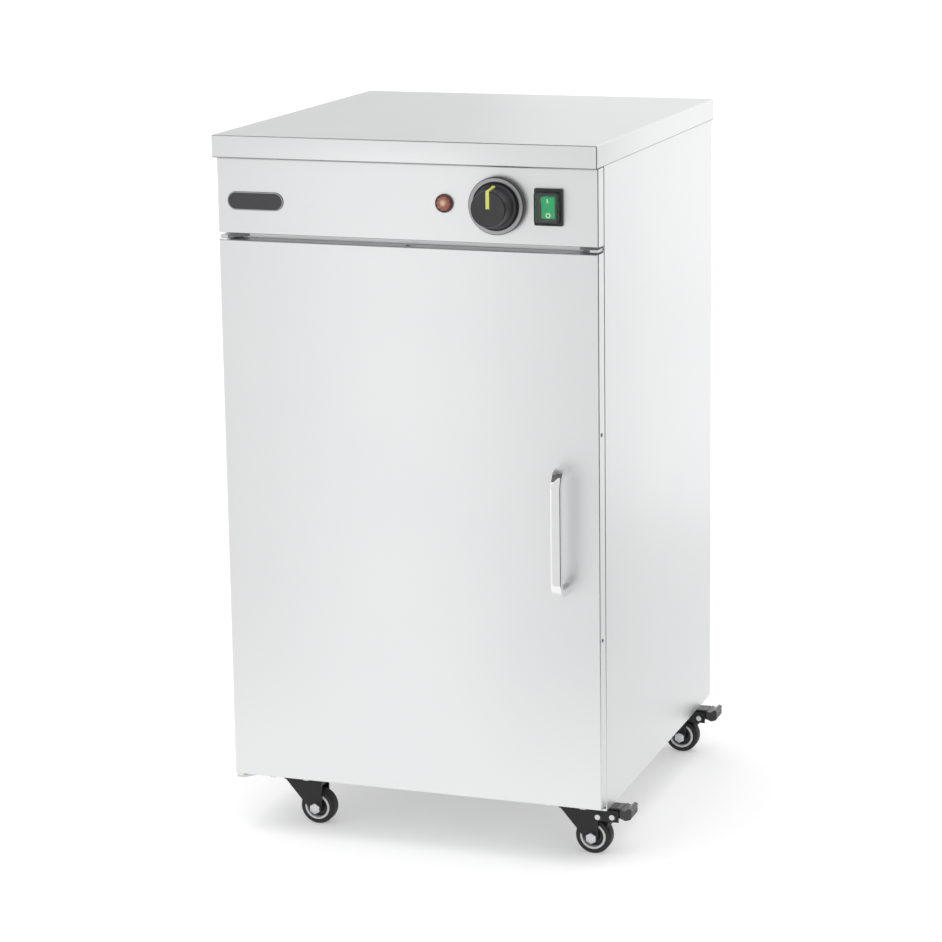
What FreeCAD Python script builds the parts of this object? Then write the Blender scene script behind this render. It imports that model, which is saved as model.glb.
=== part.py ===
"""Heated plate cabinet on four swivel casters.

A stainless cupboard that keeps stacks of plates warm: a folded lid, a control fascia with a pilot lamp,
a thermostat and a rocker switch, one full-overlay door with a D-handle, two wire shelves and a tubular
heater under a slotted floor. The two casters on the right have brake pedals.

All sizes are in millimetres. The cabinet is drawn with x across the front (0 in the middle, + to the
right), y from the door's front face towards the back, and z up from the floor. Each piece is then placed
in the part's own frame, whose origin is the middle of the bounding box's bottom.
"""
import FreeCAD, Part
import math
import os
import Sketcher
from FreeCAD import Vector

doc = FreeCAD.newDocument("heated_plate_cabinet")

# ---------------------------------------------------------------------------------------------------
# Driving dimensions
# ---------------------------------------------------------------------------------------------------
DIMENSIONS = [
    # the cabinet
    ("body_width", 450.0, "over the two side panels"),
    ("overall_depth", 480.0, "door's front face to the lid's rear edge"),
    ("caster_height", 64.5, "floor to the lower edge of the side panels"),
    ("door_height", 635.5, "height of the door"),
    ("door_thickness", 20.0, "thickness of the door and the fascia"),
    ("door_gap", 1.6, "door's rear face to the front edge of the body"),
    ("hinge_gap", 8.0, "door's top edge to the fascia"),
    ("fascia_height", 85.5, "height of the control fascia"),
    ("lid_seam", 0.5, "fascia's top edge to the lid"),
    ("lid_height", 26.0, "height of the lid's skirt"),
    ("lid_front", 9.8, "lid's front edge ahead of the door's face"),
    ("lid_overhang", 1.6, "lid's skirt outside the side panels and the back"),
    ("skin", 1.0, "sheet thickness of the folded panels"),
    ("bend", 1.5, "outside radius of a fold"),
    ("base_sheet", 1.5, "sheet thickness of the base pan"),
    ("fit", 0.2, "clearance between pieces that slide together"),
    ("front_return", 12.0, "width of a side panel's front fold"),
    ("rear_return", 15.0, "width of a side panel's rear, top and bottom folds"),
    ("base_wall", 25.0, "height of the base pan's turned-up walls"),
    ("louvre_width", 70.0, "width of a louvre in the back panel"),
    ("louvre_pitch", 9.0, "spacing of the louvres"),
    ("louvre_depth", 3.6, "how far a louvre stands out"),
    ("louvre_lip", 5.0, "height of a louvre"),
    ("standoff_radius", 4.0, "radius of the fascia's stand-offs"),
    # the chamber
    ("wall_space", 30.0, "side panel's outer face to the chamber"),
    ("rear_space", 22.0, "back panel to the chamber's rear wall"),
    ("floor_space", 38.0, "base pan to the chamber floor"),
    ("top_rail", 36.0, "chamber's ceiling below the door's top edge"),
    ("rail_rise", 24.0, "front frame above the fascia's lower edge"),
    ("liner_flange", 10.0, "width of the liners' front flanges"),
    ("slot_width", 12.0, "width of a warm-air slot in the chamber floor"),
    ("slot_length", 130.0, "length of a warm-air slot"),
    ("slot_pitch", 44.0, "spacing of the warm-air slots"),
    ("element_radius", 4.0, "radius of the tubular heater"),
    ("element_bend", 22.0, "bend radius of the tubular heater"),
    ("element_rise", 22.0, "heater's centre line above the base pan"),
    ("catch_width", 46.0, "width of the magnetic catch"),
    ("catch_height", 12.0, "height of the magnetic catch"),
    ("catch_depth", 12.0, "depth of the magnetic catch's body"),
    ("catch_x", 75.0, "magnetic catch right of the middle"),
    ("catch_drop", 16.2, "magnetic catch below the door's top edge"),
    ("catch_lip", 1.5, "magnetic catch's body wider than its face, on each side"),
    ("runner_leg", 15.0, "leg of a shelf runner"),
    ("runner_sheet", 1.5, "thickness of a shelf runner"),
    ("shelf_pitch", 190.0, "spacing of the shelves above the chamber floor"),
    ("shelf_inset", 15.0, "shelves and runners from the chamber's front and rear"),
    ("shelf_play", 1.0, "shelf to the chamber's side walls"),
    ("shelf_rod", 3.0, "radius of a shelf's frame rod"),
    ("shelf_wire", 1.6, "radius of a shelf's cross wires"),
    ("shelf_corner", 14.0, "corner radius of a shelf's frame"),
    ("wire_pitch", 25.0, "spacing of a shelf's wires"),
    ("weld_depth", 0.5, "how far welded wires sink into each other"),
    # the door
    ("inner_pan_depth", 15.0, "depth of the door's inner pan"),
    ("gasket_width", 9.0, "width of the door seal"),
    ("gasket_inset", 3.0, "seal outside the chamber's mouth"),
    ("seal_gap", 0.3, "seal and catch plate to the front frame when shut"),
    ("rivet_head", 3.2, "radius of a pop rivet's head"),
    ("rivet_shank", 1.6, "radius of a pop rivet's shank"),
    ("rivet_lower", 197.0, "lower edge rivet above the door's lower edge"),
    ("rivet_upper", 433.0, "upper edge rivet above the door's lower edge"),
    ("rivet_depth", 10.0, "rivets behind the door's front face"),
    ("slit_inset", 28.0, "slit in the door's top and bottom folds from the door's side"),
    ("slit_length", 13.0, "length of that slit"),
    ("slit_width", 1.2, "width of that slit"),
    # the hinge
    ("pivot_inset", 6.2, "hinge axis from the door's side edge"),
    ("pivot_depth", 5.5, "hinge axis behind the door's front face"),
    ("pivot_radius", 2.5, "radius of a hinge pin"),
    ("pivot_reach", 11.0, "hinge pin's length inside the door"),
    ("bush_radius", 4.0, "outside radius of a pivot bush"),
    ("bush_flange", 5.0, "radius of a pivot bush's flange"),
    ("pivot_play", 0.06, "radial clearance on a pin or a spindle"),
    ("hinge_plate", 3.0, "thickness of a hinge bracket"),
    ("hinge_clearance", 2.0, "hinge bracket to the door's edge"),
    ("hinge_width", 26.5, "width of a hinge bracket"),
    ("hinge_leg", 25.0, "height of a hinge bracket's upright leg"),
    # the handle
    ("handle_inset", 41.0, "handle from the door's right edge"),
    ("handle_z", 325.0, "middle of the handle above the door's lower edge"),
    ("handle_holes", 128.0, "spacing of the handle's screws"),
    ("handle_length", 152.0, "distance between the corners of its centre line"),
    ("handle_reach", 35.0, "handle's front face ahead of the door"),
    ("handle_width", 12.0, "width of the handle's flat-oval section"),
    ("handle_depth", 9.0, "thickness of the handle's section"),
    ("handle_bend", 15.0, "bend radius of the handle's centre line"),
    ("handle_screw", 2.0, "radius of a handle screw"),
    # the controls
    ("badge_inset", 46.5, "middle of the badge plate from the left side"),
    ("badge_drop", 5.5, "badge plate below the fascia's middle"),
    ("badge_width", 68.0, "width of the badge plate"),
    ("badge_height", 21.0, "height of the badge plate"),
    ("badge_sheet", 1.5, "thickness of the badge plate"),
    ("lamp_inset", 177.0, "pilot lamp from the right side"),
    ("lamp_flange", 10.5, "radius of the lamp's bezel"),
    ("lamp_body", 6.5, "radius of the lamp's body"),
    ("lamp_lens", 7.6, "radius of the lamp's lens"),
    ("lamp_reach", 6.0, "front of the lens ahead of the fascia"),
    ("dial_inset", 114.3, "thermostat from the right side"),
    ("dial_radius", 32.0, "radius of the dial ring"),
    ("dial_depth", 10.0, "thickness of the dial ring"),
    ("dial_recess", 2.0, "depth of the dial ring's recess"),
    ("knob_flange", 25.0, "radius of the knob's flange"),
    ("knob_flange_depth", 6.0, "thickness of the knob's flange"),
    ("knob_cap", 20.0, "radius of the knob's cap"),
    ("knob_reach", 37.0, "knob's cap ahead of the fascia"),
    ("knob_play", 0.4, "knob to the dial ring"),
    ("spindle_radius", 3.0, "radius of the thermostat's spindle"),
    ("spindle_bush", 5.1, "radius of the bush round the spindle"),
    ("capillary_radius", 1.0, "radius of the capillary tube"),
    ("capillary_run", 32.0, "length of the capillary's level runs"),
    ("capillary_bend", 12.0, "bend radius of the capillary"),
    ("bulb_radius", 3.0, "radius of the sensing bulb"),
    ("bulb_length", 72.0, "length of the sensing bulb"),
    ("thermostat_size", 36.0, "width and height of the thermostat's body"),
    ("thermostat_depth", 28.0, "depth of the thermostat's body"),
    ("switch_inset", 55.8, "switch from the right side"),
    ("switch_width", 32.5, "width of the switch's bezel"),
    ("switch_height", 41.0, "height of the switch's bezel"),
    ("switch_bezel", 3.0, "thickness of the switch's bezel"),
    ("switch_body_width", 22.4, "width of the switch's body"),
    ("switch_body_height", 30.8, "height of the switch's body"),
    ("switch_body_depth", 23.0, "depth of the switch's body behind the bezel"),
    ("cover_width", 27.5, "width of the clear cover"),
    ("cover_height", 35.0, "height of the clear cover"),
    ("cover_depth", 12.0, "front of the clear cover ahead of the fascia"),
    ("cover_wall", 1.2, "wall of the clear cover"),
    ("rocker_width", 15.0, "width of the rocker"),
    ("rocker_height", 24.0, "height of the rocker"),
    ("rocker_pin", 1.5, "radius of the rocker's trunnions"),
    ("rocker_tilt", 8.0, "tilt of the rocker to each side, in degrees"),
    # services
    ("gland_inset", 75.0, "cable gland from the left side"),
    ("gland_drop", 60.0, "cable gland below the lid's lower edge"),
    ("gland_bore", 4.3, "radius of the cable gland's bore"),
    ("gland_thread", 8.0, "radius of the cable gland's thread"),
    ("gland_reach", 15.0, "cable gland behind the back panel"),
    ("gland_inside", 10.0, "cable gland's length inside the cabinet"),
    ("gland_flats", 20.8, "across the flats of the gland's hexagon and its locknut"),
    ("gland_nut", 5.0, "height of the gland's hexagon and its locknut"),
    ("terminal_length", 60.0, "length of the terminal block"),
    ("terminal_depth", 20.0, "depth of the terminal block"),
    ("terminal_height", 15.0, "height of the terminal block"),
    ("terminal_well", 3.0, "radius and depth of a terminal's screw well"),
    # the casters
    ("caster_inset_x", 53.7, "swivel axis from the side panel's outer face"),
    ("caster_inset_y", 37.7, "swivel axis from the body's front edge and rear face"),
    ("caster_trail", 27.9, "wheel's axle behind the swivel axis"),
    ("wheel_radius", 21.25, "radius of the tyre"),
    ("wheel_width", 17.0, "width of the tyre"),
    ("rim_radius", 15.2, "radius of the wheel's rim"),
    ("plate_size", 56.0, "side of a caster's top plate"),
    ("plate_sheet", 2.5, "thickness of a caster's top plate"),
    ("plate_holes", 42.0, "spacing of a top plate's holes"),
    ("plate_corner", 3.0, "corner radius of a top plate"),
    ("bolt_radius", 3.0, "radius of the M6 bolts"),
    ("bolt_flats", 10.0, "across the flats of a bolt's head and nut"),
    ("bolt_head", 4.0, "height of a bolt's head"),
    ("bolt_nut", 5.0, "height of a bolt's nut"),
    ("fork_inside", 21.0, "distance between the fork's cheeks"),
    ("fork_sheet", 2.0, "thickness of the fork's cheeks"),
    ("fork_crown", 2.5, "thickness of the fork's crown"),
    ("fork_front", 39.8, "fork's front corner ahead of the axle"),
    ("fork_rear", 7.5, "fork's rear edge behind the axle, and the radius round the axle"),
    ("upper_race_height", 3.0, "height of the top plate's race"),
    ("upper_race_radius", 15.0, "radius of the top plate's race"),
    ("race_cup_height", 3.7, "height of the fork's race cup"),
    ("race_cup_radius", 18.0, "radius of the fork's race cup"),
    ("kingpin_radius", 5.0, "radius of a caster's kingpin"),
    ("kingpin_head", 8.0, "radius of the kingpin's head"),
    ("kingpin_head_height", 3.7, "height of the kingpin's head"),
    ("stop_flange", 2.5, "thickness of the flange behind an unbraked wheel"),
    ("stop_drop", 5.0, "that flange below the crown"),
    ("axle_radius", 3.0, "radius of a wheel's axle bolt"),
    ("axle_flats", 11.4, "across the flats of the axle bolt's head"),
    ("axle_head", 5.0, "height of the axle bolt's head and of its nut"),
    ("boss_radius", 7.0, "radius of the wheel's boss"),
    ("web_half", 3.0, "half the thickness of the wheel's web"),
    ("rim_wall", 3.0, "thickness of the wheel's rim"),
    ("tyre_shoulder", 3.0, "radius of the tyre's shoulders"),
    ("running_play", 0.3, "gap between pieces that turn past each other"),
    # the brakes
    ("stay_x", 7.2, "stay rivet behind the axle"),
    ("stay_gap", 4.35, "stay rivet above the top of the tyre"),
    ("pedal_back", 3.25, "pedal's pivot behind the back of the tyre"),
    ("pedal_gap", 5.65, "pedal's pivot above the top of the tyre"),
    ("bracket_drop", 6.0, "brake bracket's lower edge below the pedal's pivot"),
    ("bracket_end", 7.5, "brake bracket's end behind the pedal's pivot"),
    ("pedal_tip", 23.5, "pedal's tip behind its pivot"),
    ("pedal_half", 13.0, "half the width of the pedal's tread"),
    ("brake_rivet", 2.5, "radius of a brake rivet's shank"),
    ("brake_head", 4.4, "radius of a brake rivet's head"),
    ("brake_head_height", 1.5, "height of a brake rivet's head"),
]

sheet = doc.addObject("Spreadsheet::Sheet", "Sizes")
for row, (alias, number, note) in enumerate(DIMENSIONS, start=1):
    sheet.set("A%d" % row, note)
    sheet.set("B%d" % row, str(number))
    sheet.setAlias("B%d" % row, alias)
doc.recompute()


class Size:
    """A size worked out from the sheet: its number, and the formula that binds it to the sheet."""

    def __init__(self, number, formula):
        self.number = float(number)
        self.formula = formula

    def __add__(self, other):
        other = as_size(other)
        return Size(self.number + other.number, "(%s + %s)" % (self.formula, other.formula))

    def __sub__(self, other):
        other = as_size(other)
        return Size(self.number - other.number, "(%s - %s)" % (self.formula, other.formula))

    def __mul__(self, other):
        other = as_size(other)
        return Size(self.number * other.number, "(%s * %s)" % (self.formula, other.formula))

    def __truediv__(self, other):
        other = as_size(other)
        return Size(self.number / other.number, "(%s / %s)" % (self.formula, other.formula))

    def __radd__(self, other):
        return as_size(other) + self

    def __rsub__(self, other):
        return as_size(other) - self

    def __rmul__(self, other):
        return as_size(other) * self

    def __neg__(self):
        return Size(-self.number, "(0 - %s)" % self.formula)


def as_size(value):
    if isinstance(value, Size):
        return value
    return Size(value, "(%.9g)" % value)


class SheetSizes:
    """Reads a size from the sheet by its alias."""

    def __getattr__(self, alias):
        return Size(sheet.get(alias), "Sizes." + alias)


d = SheetSizes()

# ---------------------------------------------------------------------------------------------------
# Places that several pieces share, worked out from the driving dimensions
# ---------------------------------------------------------------------------------------------------
half = d.body_width / 2
body_front = d.door_thickness + d.door_gap
body_back = d.overall_depth - d.lid_overhang
body_bottom = d.caster_height
mount_face = body_bottom + d.skin                  # the casters' top plates meet the base pan here
base_top = mount_face + d.base_sheet
door_bottom = base_top + d.hinge_plate + d.hinge_clearance
door_top = door_bottom + d.door_height
fascia_bottom = door_top + d.hinge_gap
fascia_top = fascia_bottom + d.fascia_height
lid_bottom = fascia_top + d.lid_seam
total_height = lid_bottom + d.lid_height
lid_under = total_height - d.skin
control_line = fascia_bottom + d.fascia_height / 2

inner_half = half - d.skin                          # inner face of a side panel
frame_front = body_front + d.skin                   # front frame, behind the side panels' front folds
frame_back = frame_front + d.skin
frame_top = fascia_bottom + d.rail_rise
back_inner = body_back - d.skin * 2                 # front face of the back panel
back_outer = body_back - d.skin                     # rear face of the back panel

chamber_half = half - d.wall_space
chamber_bottom = base_top + d.floor_space
chamber_top = door_top - d.top_rail
chamber_back = back_inner - d.rear_space

pivot_x = d.pivot_inset - half
badge_x = d.badge_inset - half
lamp_x = half - d.lamp_inset
dial_x = half - d.dial_inset
switch_x = half - d.switch_inset
handle_x = half - d.handle_inset
gland_x = d.gland_inset - half
fork_half = d.fork_inside / 2 + d.fork_sheet
caster_x = half - d.caster_inset_x
caster_front = body_front + d.caster_inset_y
caster_rear = body_back - d.caster_inset_y
plate_under = mount_face - d.plate_sheet
race_low = plate_under - d.upper_race_height
crown_top = race_low - d.running_play - d.race_cup_height
crown_bottom = crown_top - d.fork_crown
axle_z = d.wheel_radius
pedal_x = d.wheel_radius + d.pedal_back             # the pedal's pivot, from the axle
pedal_rise = d.wheel_radius + d.pedal_gap

# the part's origin: the middle of the bounding box's bottom
reach_left = half + d.lid_overhang
reach_right = caster_x + d.caster_trail + pedal_x + d.pedal_tip
reach_back = back_outer + d.gland_reach
origin_x = (reach_right - reach_left) / 2
origin_y = (reach_back - d.knob_reach) / 2


# ---------------------------------------------------------------------------------------------------
# Tools for drawing
# ---------------------------------------------------------------------------------------------------
sub_parts = []
ROLE = {"XY": "XY_Plane", "XZ": "XZ_Plane", "YZ": "YZ_Plane"}
SENSE = {"XY": 1, "XZ": -1, "YZ": 1}                # an XZ sketch looks towards -y


def bind(thing, name, size):
    thing.setExpression(name, as_size(size).formula)


def place(piece, x=0.0, y=0.0, z=0.0):
    """Moves a piece to a place given in the cabinet's own coordinates."""
    bind(piece, "Placement.Base.x", x)
    bind(piece, "Placement.Base.y", y)
    bind(piece, "Placement.Base.z", z)


def sub_part(piece, label, x=0.0, y=0.0, z=0.0):
    """Names a finished piece and places it in the part's frame."""
    piece.Label = label
    place(piece, as_size(x) - origin_x, as_size(y) - origin_y, z)
    sub_parts.append(piece)
    return piece


def new_body(name):
    return doc.addObject("PartDesign::Body", name)


def origin_feature(body, role):
    return [feature for feature in body.Origin.OriginFeatures if feature.Role == role][0]


def new_sketch(body, plane, at):
    """A sketch on one of the body's planes, moved to `at` along that plane's axis."""
    sketch = body.newObject("Sketcher::SketchObject", body.Name + "_sketch")
    sketch.AttachmentSupport = [(origin_feature(body, ROLE[plane]), "")]
    sketch.MapMode = "FlatFace"
    bind(sketch, "AttachmentOffset.Base.z", as_size(at) * SENSE[plane])
    return sketch


def pin_point(sketch, geometry, end, x, y):
    """Fixes a point of the sketch by its two coordinates."""
    for kind, size in (("DistanceX", as_size(x)), ("DistanceY", as_size(y))):
        index = sketch.addConstraint(Sketcher.Constraint(kind, -1, 1, geometry, end, size.number))
        sketch.setExpression("Constraints[%d]" % index, size.formula)


def pin_radius(sketch, geometry, radius):
    index = sketch.addConstraint(Sketcher.Constraint("Radius", geometry, radius.number))
    sketch.setExpression("Constraints[%d]" % index, radius.formula)


def circle(x, y, radius):
    """Draws a circle."""
    x, y, radius = as_size(x), as_size(y), as_size(radius)

    def draw(sketch):
        shape = Part.Circle(Vector(x.number, y.number, 0), Vector(0, 0, 1), radius.number)
        index = sketch.addGeometry(shape, False)
        pin_point(sketch, index, 3, x, y)
        pin_radius(sketch, index, radius)
    return draw


def corner_arc(before, corner, after, radius):
    """Where a round of this radius leaves the two edges at a corner, and its centre."""
    back = (before - corner).normalize()
    ahead = (after - corner).normalize()
    half_angle = back.getAngle(ahead) / 2
    leave = corner + back * (radius / math.tan(half_angle))
    join = corner + ahead * (radius / math.tan(half_angle))
    centre = corner + (back + ahead).normalize() * (radius / math.sin(half_angle))
    return leave, join, centre, back.cross(ahead).z < 0


def polygon(*corners, closed=True):
    """Draws an outline through corners (x, y) or, for a rounded corner, (x, y, radius)."""
    corners = [tuple(as_size(value) for value in corner) for corner in corners]
    count = len(corners)

    def draw(sketch):
        points = [Vector(corner[0].number, corner[1].number, 0) for corner in corners]
        leave = list(points)
        join = list(points)
        arcs = {}
        for i, corner in enumerate(corners):
            if len(corner) == 3:
                arcs[i] = corner_arc(points[i - 1], points[i], points[(i + 1) % count], corner[2].number)
                leave[i], join[i] = arcs[i][:2]
        lines = count if closed else count - 1
        first = sketch.GeometryCount
        for i in range(lines):
            sketch.addGeometry(Part.LineSegment(join[i], leave[(i + 1) % count]), False)
        for i, corner in enumerate(corners):
            x, y = corner[0], corner[1]
            line_out = first + i
            line_in = first + (i - 1) % count
            if i not in arcs:
                if not closed and i == count - 1:
                    pin_point(sketch, line_in, 2, x, y)
                    continue
                if closed or i > 0:
                    sketch.addConstraint(Sketcher.Constraint("Coincident", line_in, 2, line_out, 1))
                pin_point(sketch, line_out, 1, x, y)
                continue
            start, end, centre, turns_left = arcs[i]
            if not turns_left:
                start, end = end, start
            angles = [math.atan2(p.y - centre.y, p.x - centre.x) for p in (start, end)]
            if angles[1] < angles[0]:
                angles[1] += 2 * math.pi
            round_edge = Part.Circle(centre, Vector(0, 0, 1), corner[2].number)
            arc = sketch.addGeometry(Part.ArcOfCircle(round_edge, angles[0], angles[1]), False)
            near, far = (1, 2) if turns_left else (2, 1)
            sketch.addConstraint(Sketcher.Constraint("Tangent", line_in, 2, arc, near))
            sketch.addConstraint(Sketcher.Constraint("Tangent", arc, far, line_out, 1))
            pin_radius(sketch, arc, corner[2])
            mark = sketch.addGeometry(Part.Point(points[i]), True)
            sketch.addConstraint(Sketcher.Constraint("PointOnObject", mark, 1, line_in))
            sketch.addConstraint(Sketcher.Constraint("PointOnObject", mark, 1, line_out))
            pin_point(sketch, mark, 1, x, y)
    return draw


def rectangle(left, bottom, right, top, radius=None):
    corners = [(left, bottom), (right, bottom), (right, top), (left, top)]
    if radius is not None:
        corners = [corner + (radius,) for corner in corners]
    return polygon(*corners)


def hexagon(flats):
    """A hexagon with a corner to each side, by its size across the flats."""
    reach = as_size(flats) / (2 * math.cos(math.pi / 6))
    turns = [math.pi / 3 * k for k in range(6)]
    return polygon(*[(reach * round(math.cos(a), 9), reach * round(math.sin(a), 9)) for a in turns])


def add(body, plane, at, length, *outlines):
    """Adds material from `at` to `at` + `length` along the plane's axis."""
    sketch = new_sketch(body, plane, at)
    for outline in outlines:
        outline(sketch)
    feature = body.newObject("PartDesign::Pad", body.Name + "_pad")
    feature.Profile = sketch
    feature.Reversed = SENSE[plane] < 0
    bind(feature, "Length", length)
    doc.recompute()
    return feature


def cut(body, plane, at, length, *outlines):
    """Removes material from `at` to `at` + `length` along the plane's axis."""
    before = body.Shape.Volume
    sketch = new_sketch(body, plane, at)
    for outline in outlines:
        outline(sketch)
    feature = body.newObject("PartDesign::Pocket", body.Name + "_pocket")
    feature.Profile = sketch
    feature.Reversed = SENSE[plane] > 0
    bind(feature, "Length", length)
    doc.recompute()
    if body.Shape.Volume >= before:
        raise RuntimeError("a cut in %s removes nothing" % body.Name)
    return feature


def turn(body, plane, *outlines):
    """Revolves a profile, drawn as (radius, height), about its plane's upright axis."""
    sketch = new_sketch(body, plane, 0.0)
    for outline in outlines:
        outline(sketch)
    feature = body.newObject("PartDesign::Revolution", body.Name + "_turned")
    feature.Profile = sketch
    feature.ReferenceAxis = (sketch, ["V_Axis"])
    feature.Angle = 360.0
    doc.recompute()
    return feature


def sweep(body, section_plane, at, section, path_plane, path_at, path):
    """Sweeps a section along a path."""
    profile = new_sketch(body, section_plane, at)
    section(profile)
    spine = new_sketch(body, path_plane, path_at)
    path(spine)
    doc.recompute()
    feature = body.newObject("PartDesign::AdditivePipe", body.Name + "_swept")
    feature.Profile = profile
    feature.Spine = (spine, ["Edge%d" % (k + 1) for k in range(len(spine.Shape.Edges))])
    doc.recompute()
    return feature


def ease_edges(body, kind, size, wanted):
    """Rounds or bevels the edges whose bounding box passes a test."""
    tip = body.Tip
    names = ["Edge%d" % (k + 1) for k, edge in enumerate(tip.Shape.Edges) if wanted(edge.BoundBox)]
    feature = body.newObject("PartDesign::" + kind, body.Name + "_eased")
    feature.Base = (tip, names)
    bind(feature, {"Fillet": "Radius", "Chamfer": "Size"}[kind], size)
    doc.recompute()
    return feature


def repeat(body, feature, axis, pitch, count):
    """Repeats a feature `count` times along X, Y or Z."""
    pattern = body.newObject("PartDesign::LinearPattern", body.Name + "_row")
    pattern.Originals = [feature]
    pattern.Direction = (origin_feature(body, axis + "_Axis"), [""])
    pattern.Occurrences = count
    bind(pattern, "Length", as_size(pitch) * (count - 1))
    body.Tip = pattern
    doc.recompute()
    return pattern


def group(name, pieces):
    """Puts pieces that are alike in one node, as separate solids."""
    together = doc.addObject("Part::Compound", name)
    together.Links = pieces
    doc.recompute()
    return together


def near(value, size, slack=0.05):
    return abs(value - as_size(size).number) < slack


# ---------------------------------------------------------------------------------------------------
# Body shell: side panels, base pan, back panel, lid
# ---------------------------------------------------------------------------------------------------
def hinge_slot(body, plate_bottom, left, right, at, depth):
    """The slot that lets a hinge bracket through a sheet."""
    low = plate_bottom - d.running_play
    high = plate_bottom + d.hinge_plate + d.running_play
    return cut(body, "XZ", at, depth, rectangle(left, low, right, high))


lower_plate = door_bottom - d.hinge_clearance - d.hinge_plate
upper_plate = door_top + d.hinge_clearance


def side_panel(label, side):
    """A folded sheet with turned-in edges; side is -1 for the left panel and +1 for the right."""
    body = new_body(label)
    outer = half * side
    inner = inner_half * side
    front_edge = (half - d.front_return) * side
    rear_edge = (half - d.rear_return) * side
    inner_bend = d.bend - d.skin
    add(body, "XY", body_bottom, lid_under - body_bottom, polygon(
        (front_edge, body_front), (outer, body_front, d.bend), (outer, body_back, d.bend),
        (rear_edge, body_back), (rear_edge, back_outer), (inner, back_outer, inner_bend),
        (inner, frame_front, inner_bend), (front_edge, frame_front)))
    fold = rectangle(rear_edge, frame_front, inner, back_outer)
    add(body, "XY", body_bottom, d.skin, fold)
    add(body, "XY", lid_under - d.skin, d.skin, fold)
    slot_inner = (half - d.front_return - d.fit) * side
    for plate_bottom in (lower_plate, upper_plate):
        hinge_slot(body, plate_bottom, slot_inner, inner, body_front - d.fit, d.skin + d.fit * 2)
    return sub_part(body, label)


left_side_panel = side_panel("left_side_panel", -1)
right_side_panel = side_panel("right_side_panel", 1)

caster_places = [("front_left", -caster_x, caster_front), ("front_right", caster_x, caster_front),
                 ("back_left", -caster_x, caster_rear), ("back_right", caster_x, caster_rear)]


def base_pan():
    """A tray with walls on three sides; its front is open for the lower hinge bracket."""
    body = new_body("base_pan")
    edge = inner_half - d.fit
    front = frame_front + d.fit
    back = back_inner - d.fit
    add(body, "XY", mount_face, d.base_sheet, rectangle(-edge, front, edge, back))
    wall_front = frame_back + d.hinge_plate + d.fit
    for side in (-1, 1):
        wall = rectangle(edge * side, wall_front, (edge - d.base_sheet) * side, back)
        add(body, "XY", base_top, d.base_wall, wall)
    add(body, "XY", base_top, d.base_wall, rectangle(-edge, back - d.base_sheet, edge, back))
    holes = []
    for _, x, y in caster_places:
        for across in (-1, 1):
            for along in (-1, 1):
                holes.append(circle(x + d.plate_holes / 2 * across, y + d.plate_holes / 2 * along,
                                    d.bolt_radius + d.pivot_play))
    cut(body, "XY", mount_face, d.base_sheet, *holes)
    return sub_part(body, "base_pan")


base_pan()

LOUVRES = 7


def back_panel():
    """A flat sheet inside the side panels' rear folds, with pressed louvres level with the controls."""
    body = new_body("back_panel")
    edge = inner_half - d.bend
    top = lid_under - d.skin - d.fit
    add(body, "XZ", back_inner, d.skin, rectangle(-edge, base_top + d.fit, edge, top))
    gland_z = lid_bottom - d.gland_drop
    cut(body, "XZ", back_inner, d.skin, circle(gland_x, gland_z, d.gland_thread + d.pivot_play))
    first = fascia_bottom + d.louvre_lip
    for middle in (-half / 6, half / 2):
        left = middle - d.louvre_width / 2
        hood = add(body, "YZ", left, d.louvre_width, polygon(
            (back_outer, first), (back_outer + d.louvre_depth, first), (back_outer, first + d.louvre_lip)))
        hoods = repeat(body, hood, "Z", d.louvre_pitch, LOUVRES)
        throat = cut(body, "YZ", left + d.skin, d.louvre_width - d.skin * 2, polygon(
            (back_inner, first), (back_outer + d.louvre_depth - d.skin, first),
            (back_inner, first + d.louvre_lip - d.skin)))
        throats = repeat(body, throat, "Z", d.louvre_pitch, LOUVRES)
        if throats.Shape.Volume >= hoods.Shape.Volume:
            raise RuntimeError("the louvres have no throats")
    return sub_part(body, "back_panel")


back_panel()


def lid():
    """A folded cap over the body, with a return under its front edge."""
    body = new_body("lid")
    outer = half + d.lid_overhang
    add(body, "XY", lid_bottom, d.lid_height, rectangle(-outer, -d.lid_front, outer, d.overall_depth))
    inner = outer - d.skin
    front = d.skin - d.lid_front
    back = d.overall_depth - d.skin
    cut(body, "XY", lid_bottom, d.lid_height - d.skin, rectangle(-inner, front, inner, back))
    top = total_height.number
    ease_edges(body, "Fillet", d.bend, lambda box: near(box.ZMin, top) and near(box.ZMax, top))
    add(body, "XY", lid_bottom, d.skin, rectangle(-inner, front, inner, d.door_thickness / 2))
    return sub_part(body, "lid")


lid()

# ---------------------------------------------------------------------------------------------------
# Front frame and chamber
# ---------------------------------------------------------------------------------------------------


def front_frame():
    """The face that the door shuts on; its upper part closes the gap below the fascia."""
    body = new_body("front_frame")
    edge = inner_half - d.bend
    add(body, "XZ", frame_front, d.skin, rectangle(-edge, base_top, edge, frame_top),
        rectangle(-chamber_half, chamber_bottom, chamber_half, chamber_top))
    for side in (-1, 1):
        inner = (half - d.slit_inset - d.fit) * side
        for plate_bottom in (lower_plate, upper_plate):
            hinge_slot(body, plate_bottom, inner, half * side, frame_front, d.skin)
    cut(body, "XZ", frame_front, d.skin, catch_outline(d.fit))
    return sub_part(body, "front_frame")


def catch_outline(clearance):
    """The magnetic catch's outline on the top rail."""
    across = d.catch_width / 2 + clearance
    rise = d.catch_height / 2 + clearance
    z = door_top - d.catch_drop
    return rectangle(d.catch_x - across, z - rise, d.catch_x + across, z + rise)


front_frame()


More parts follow.
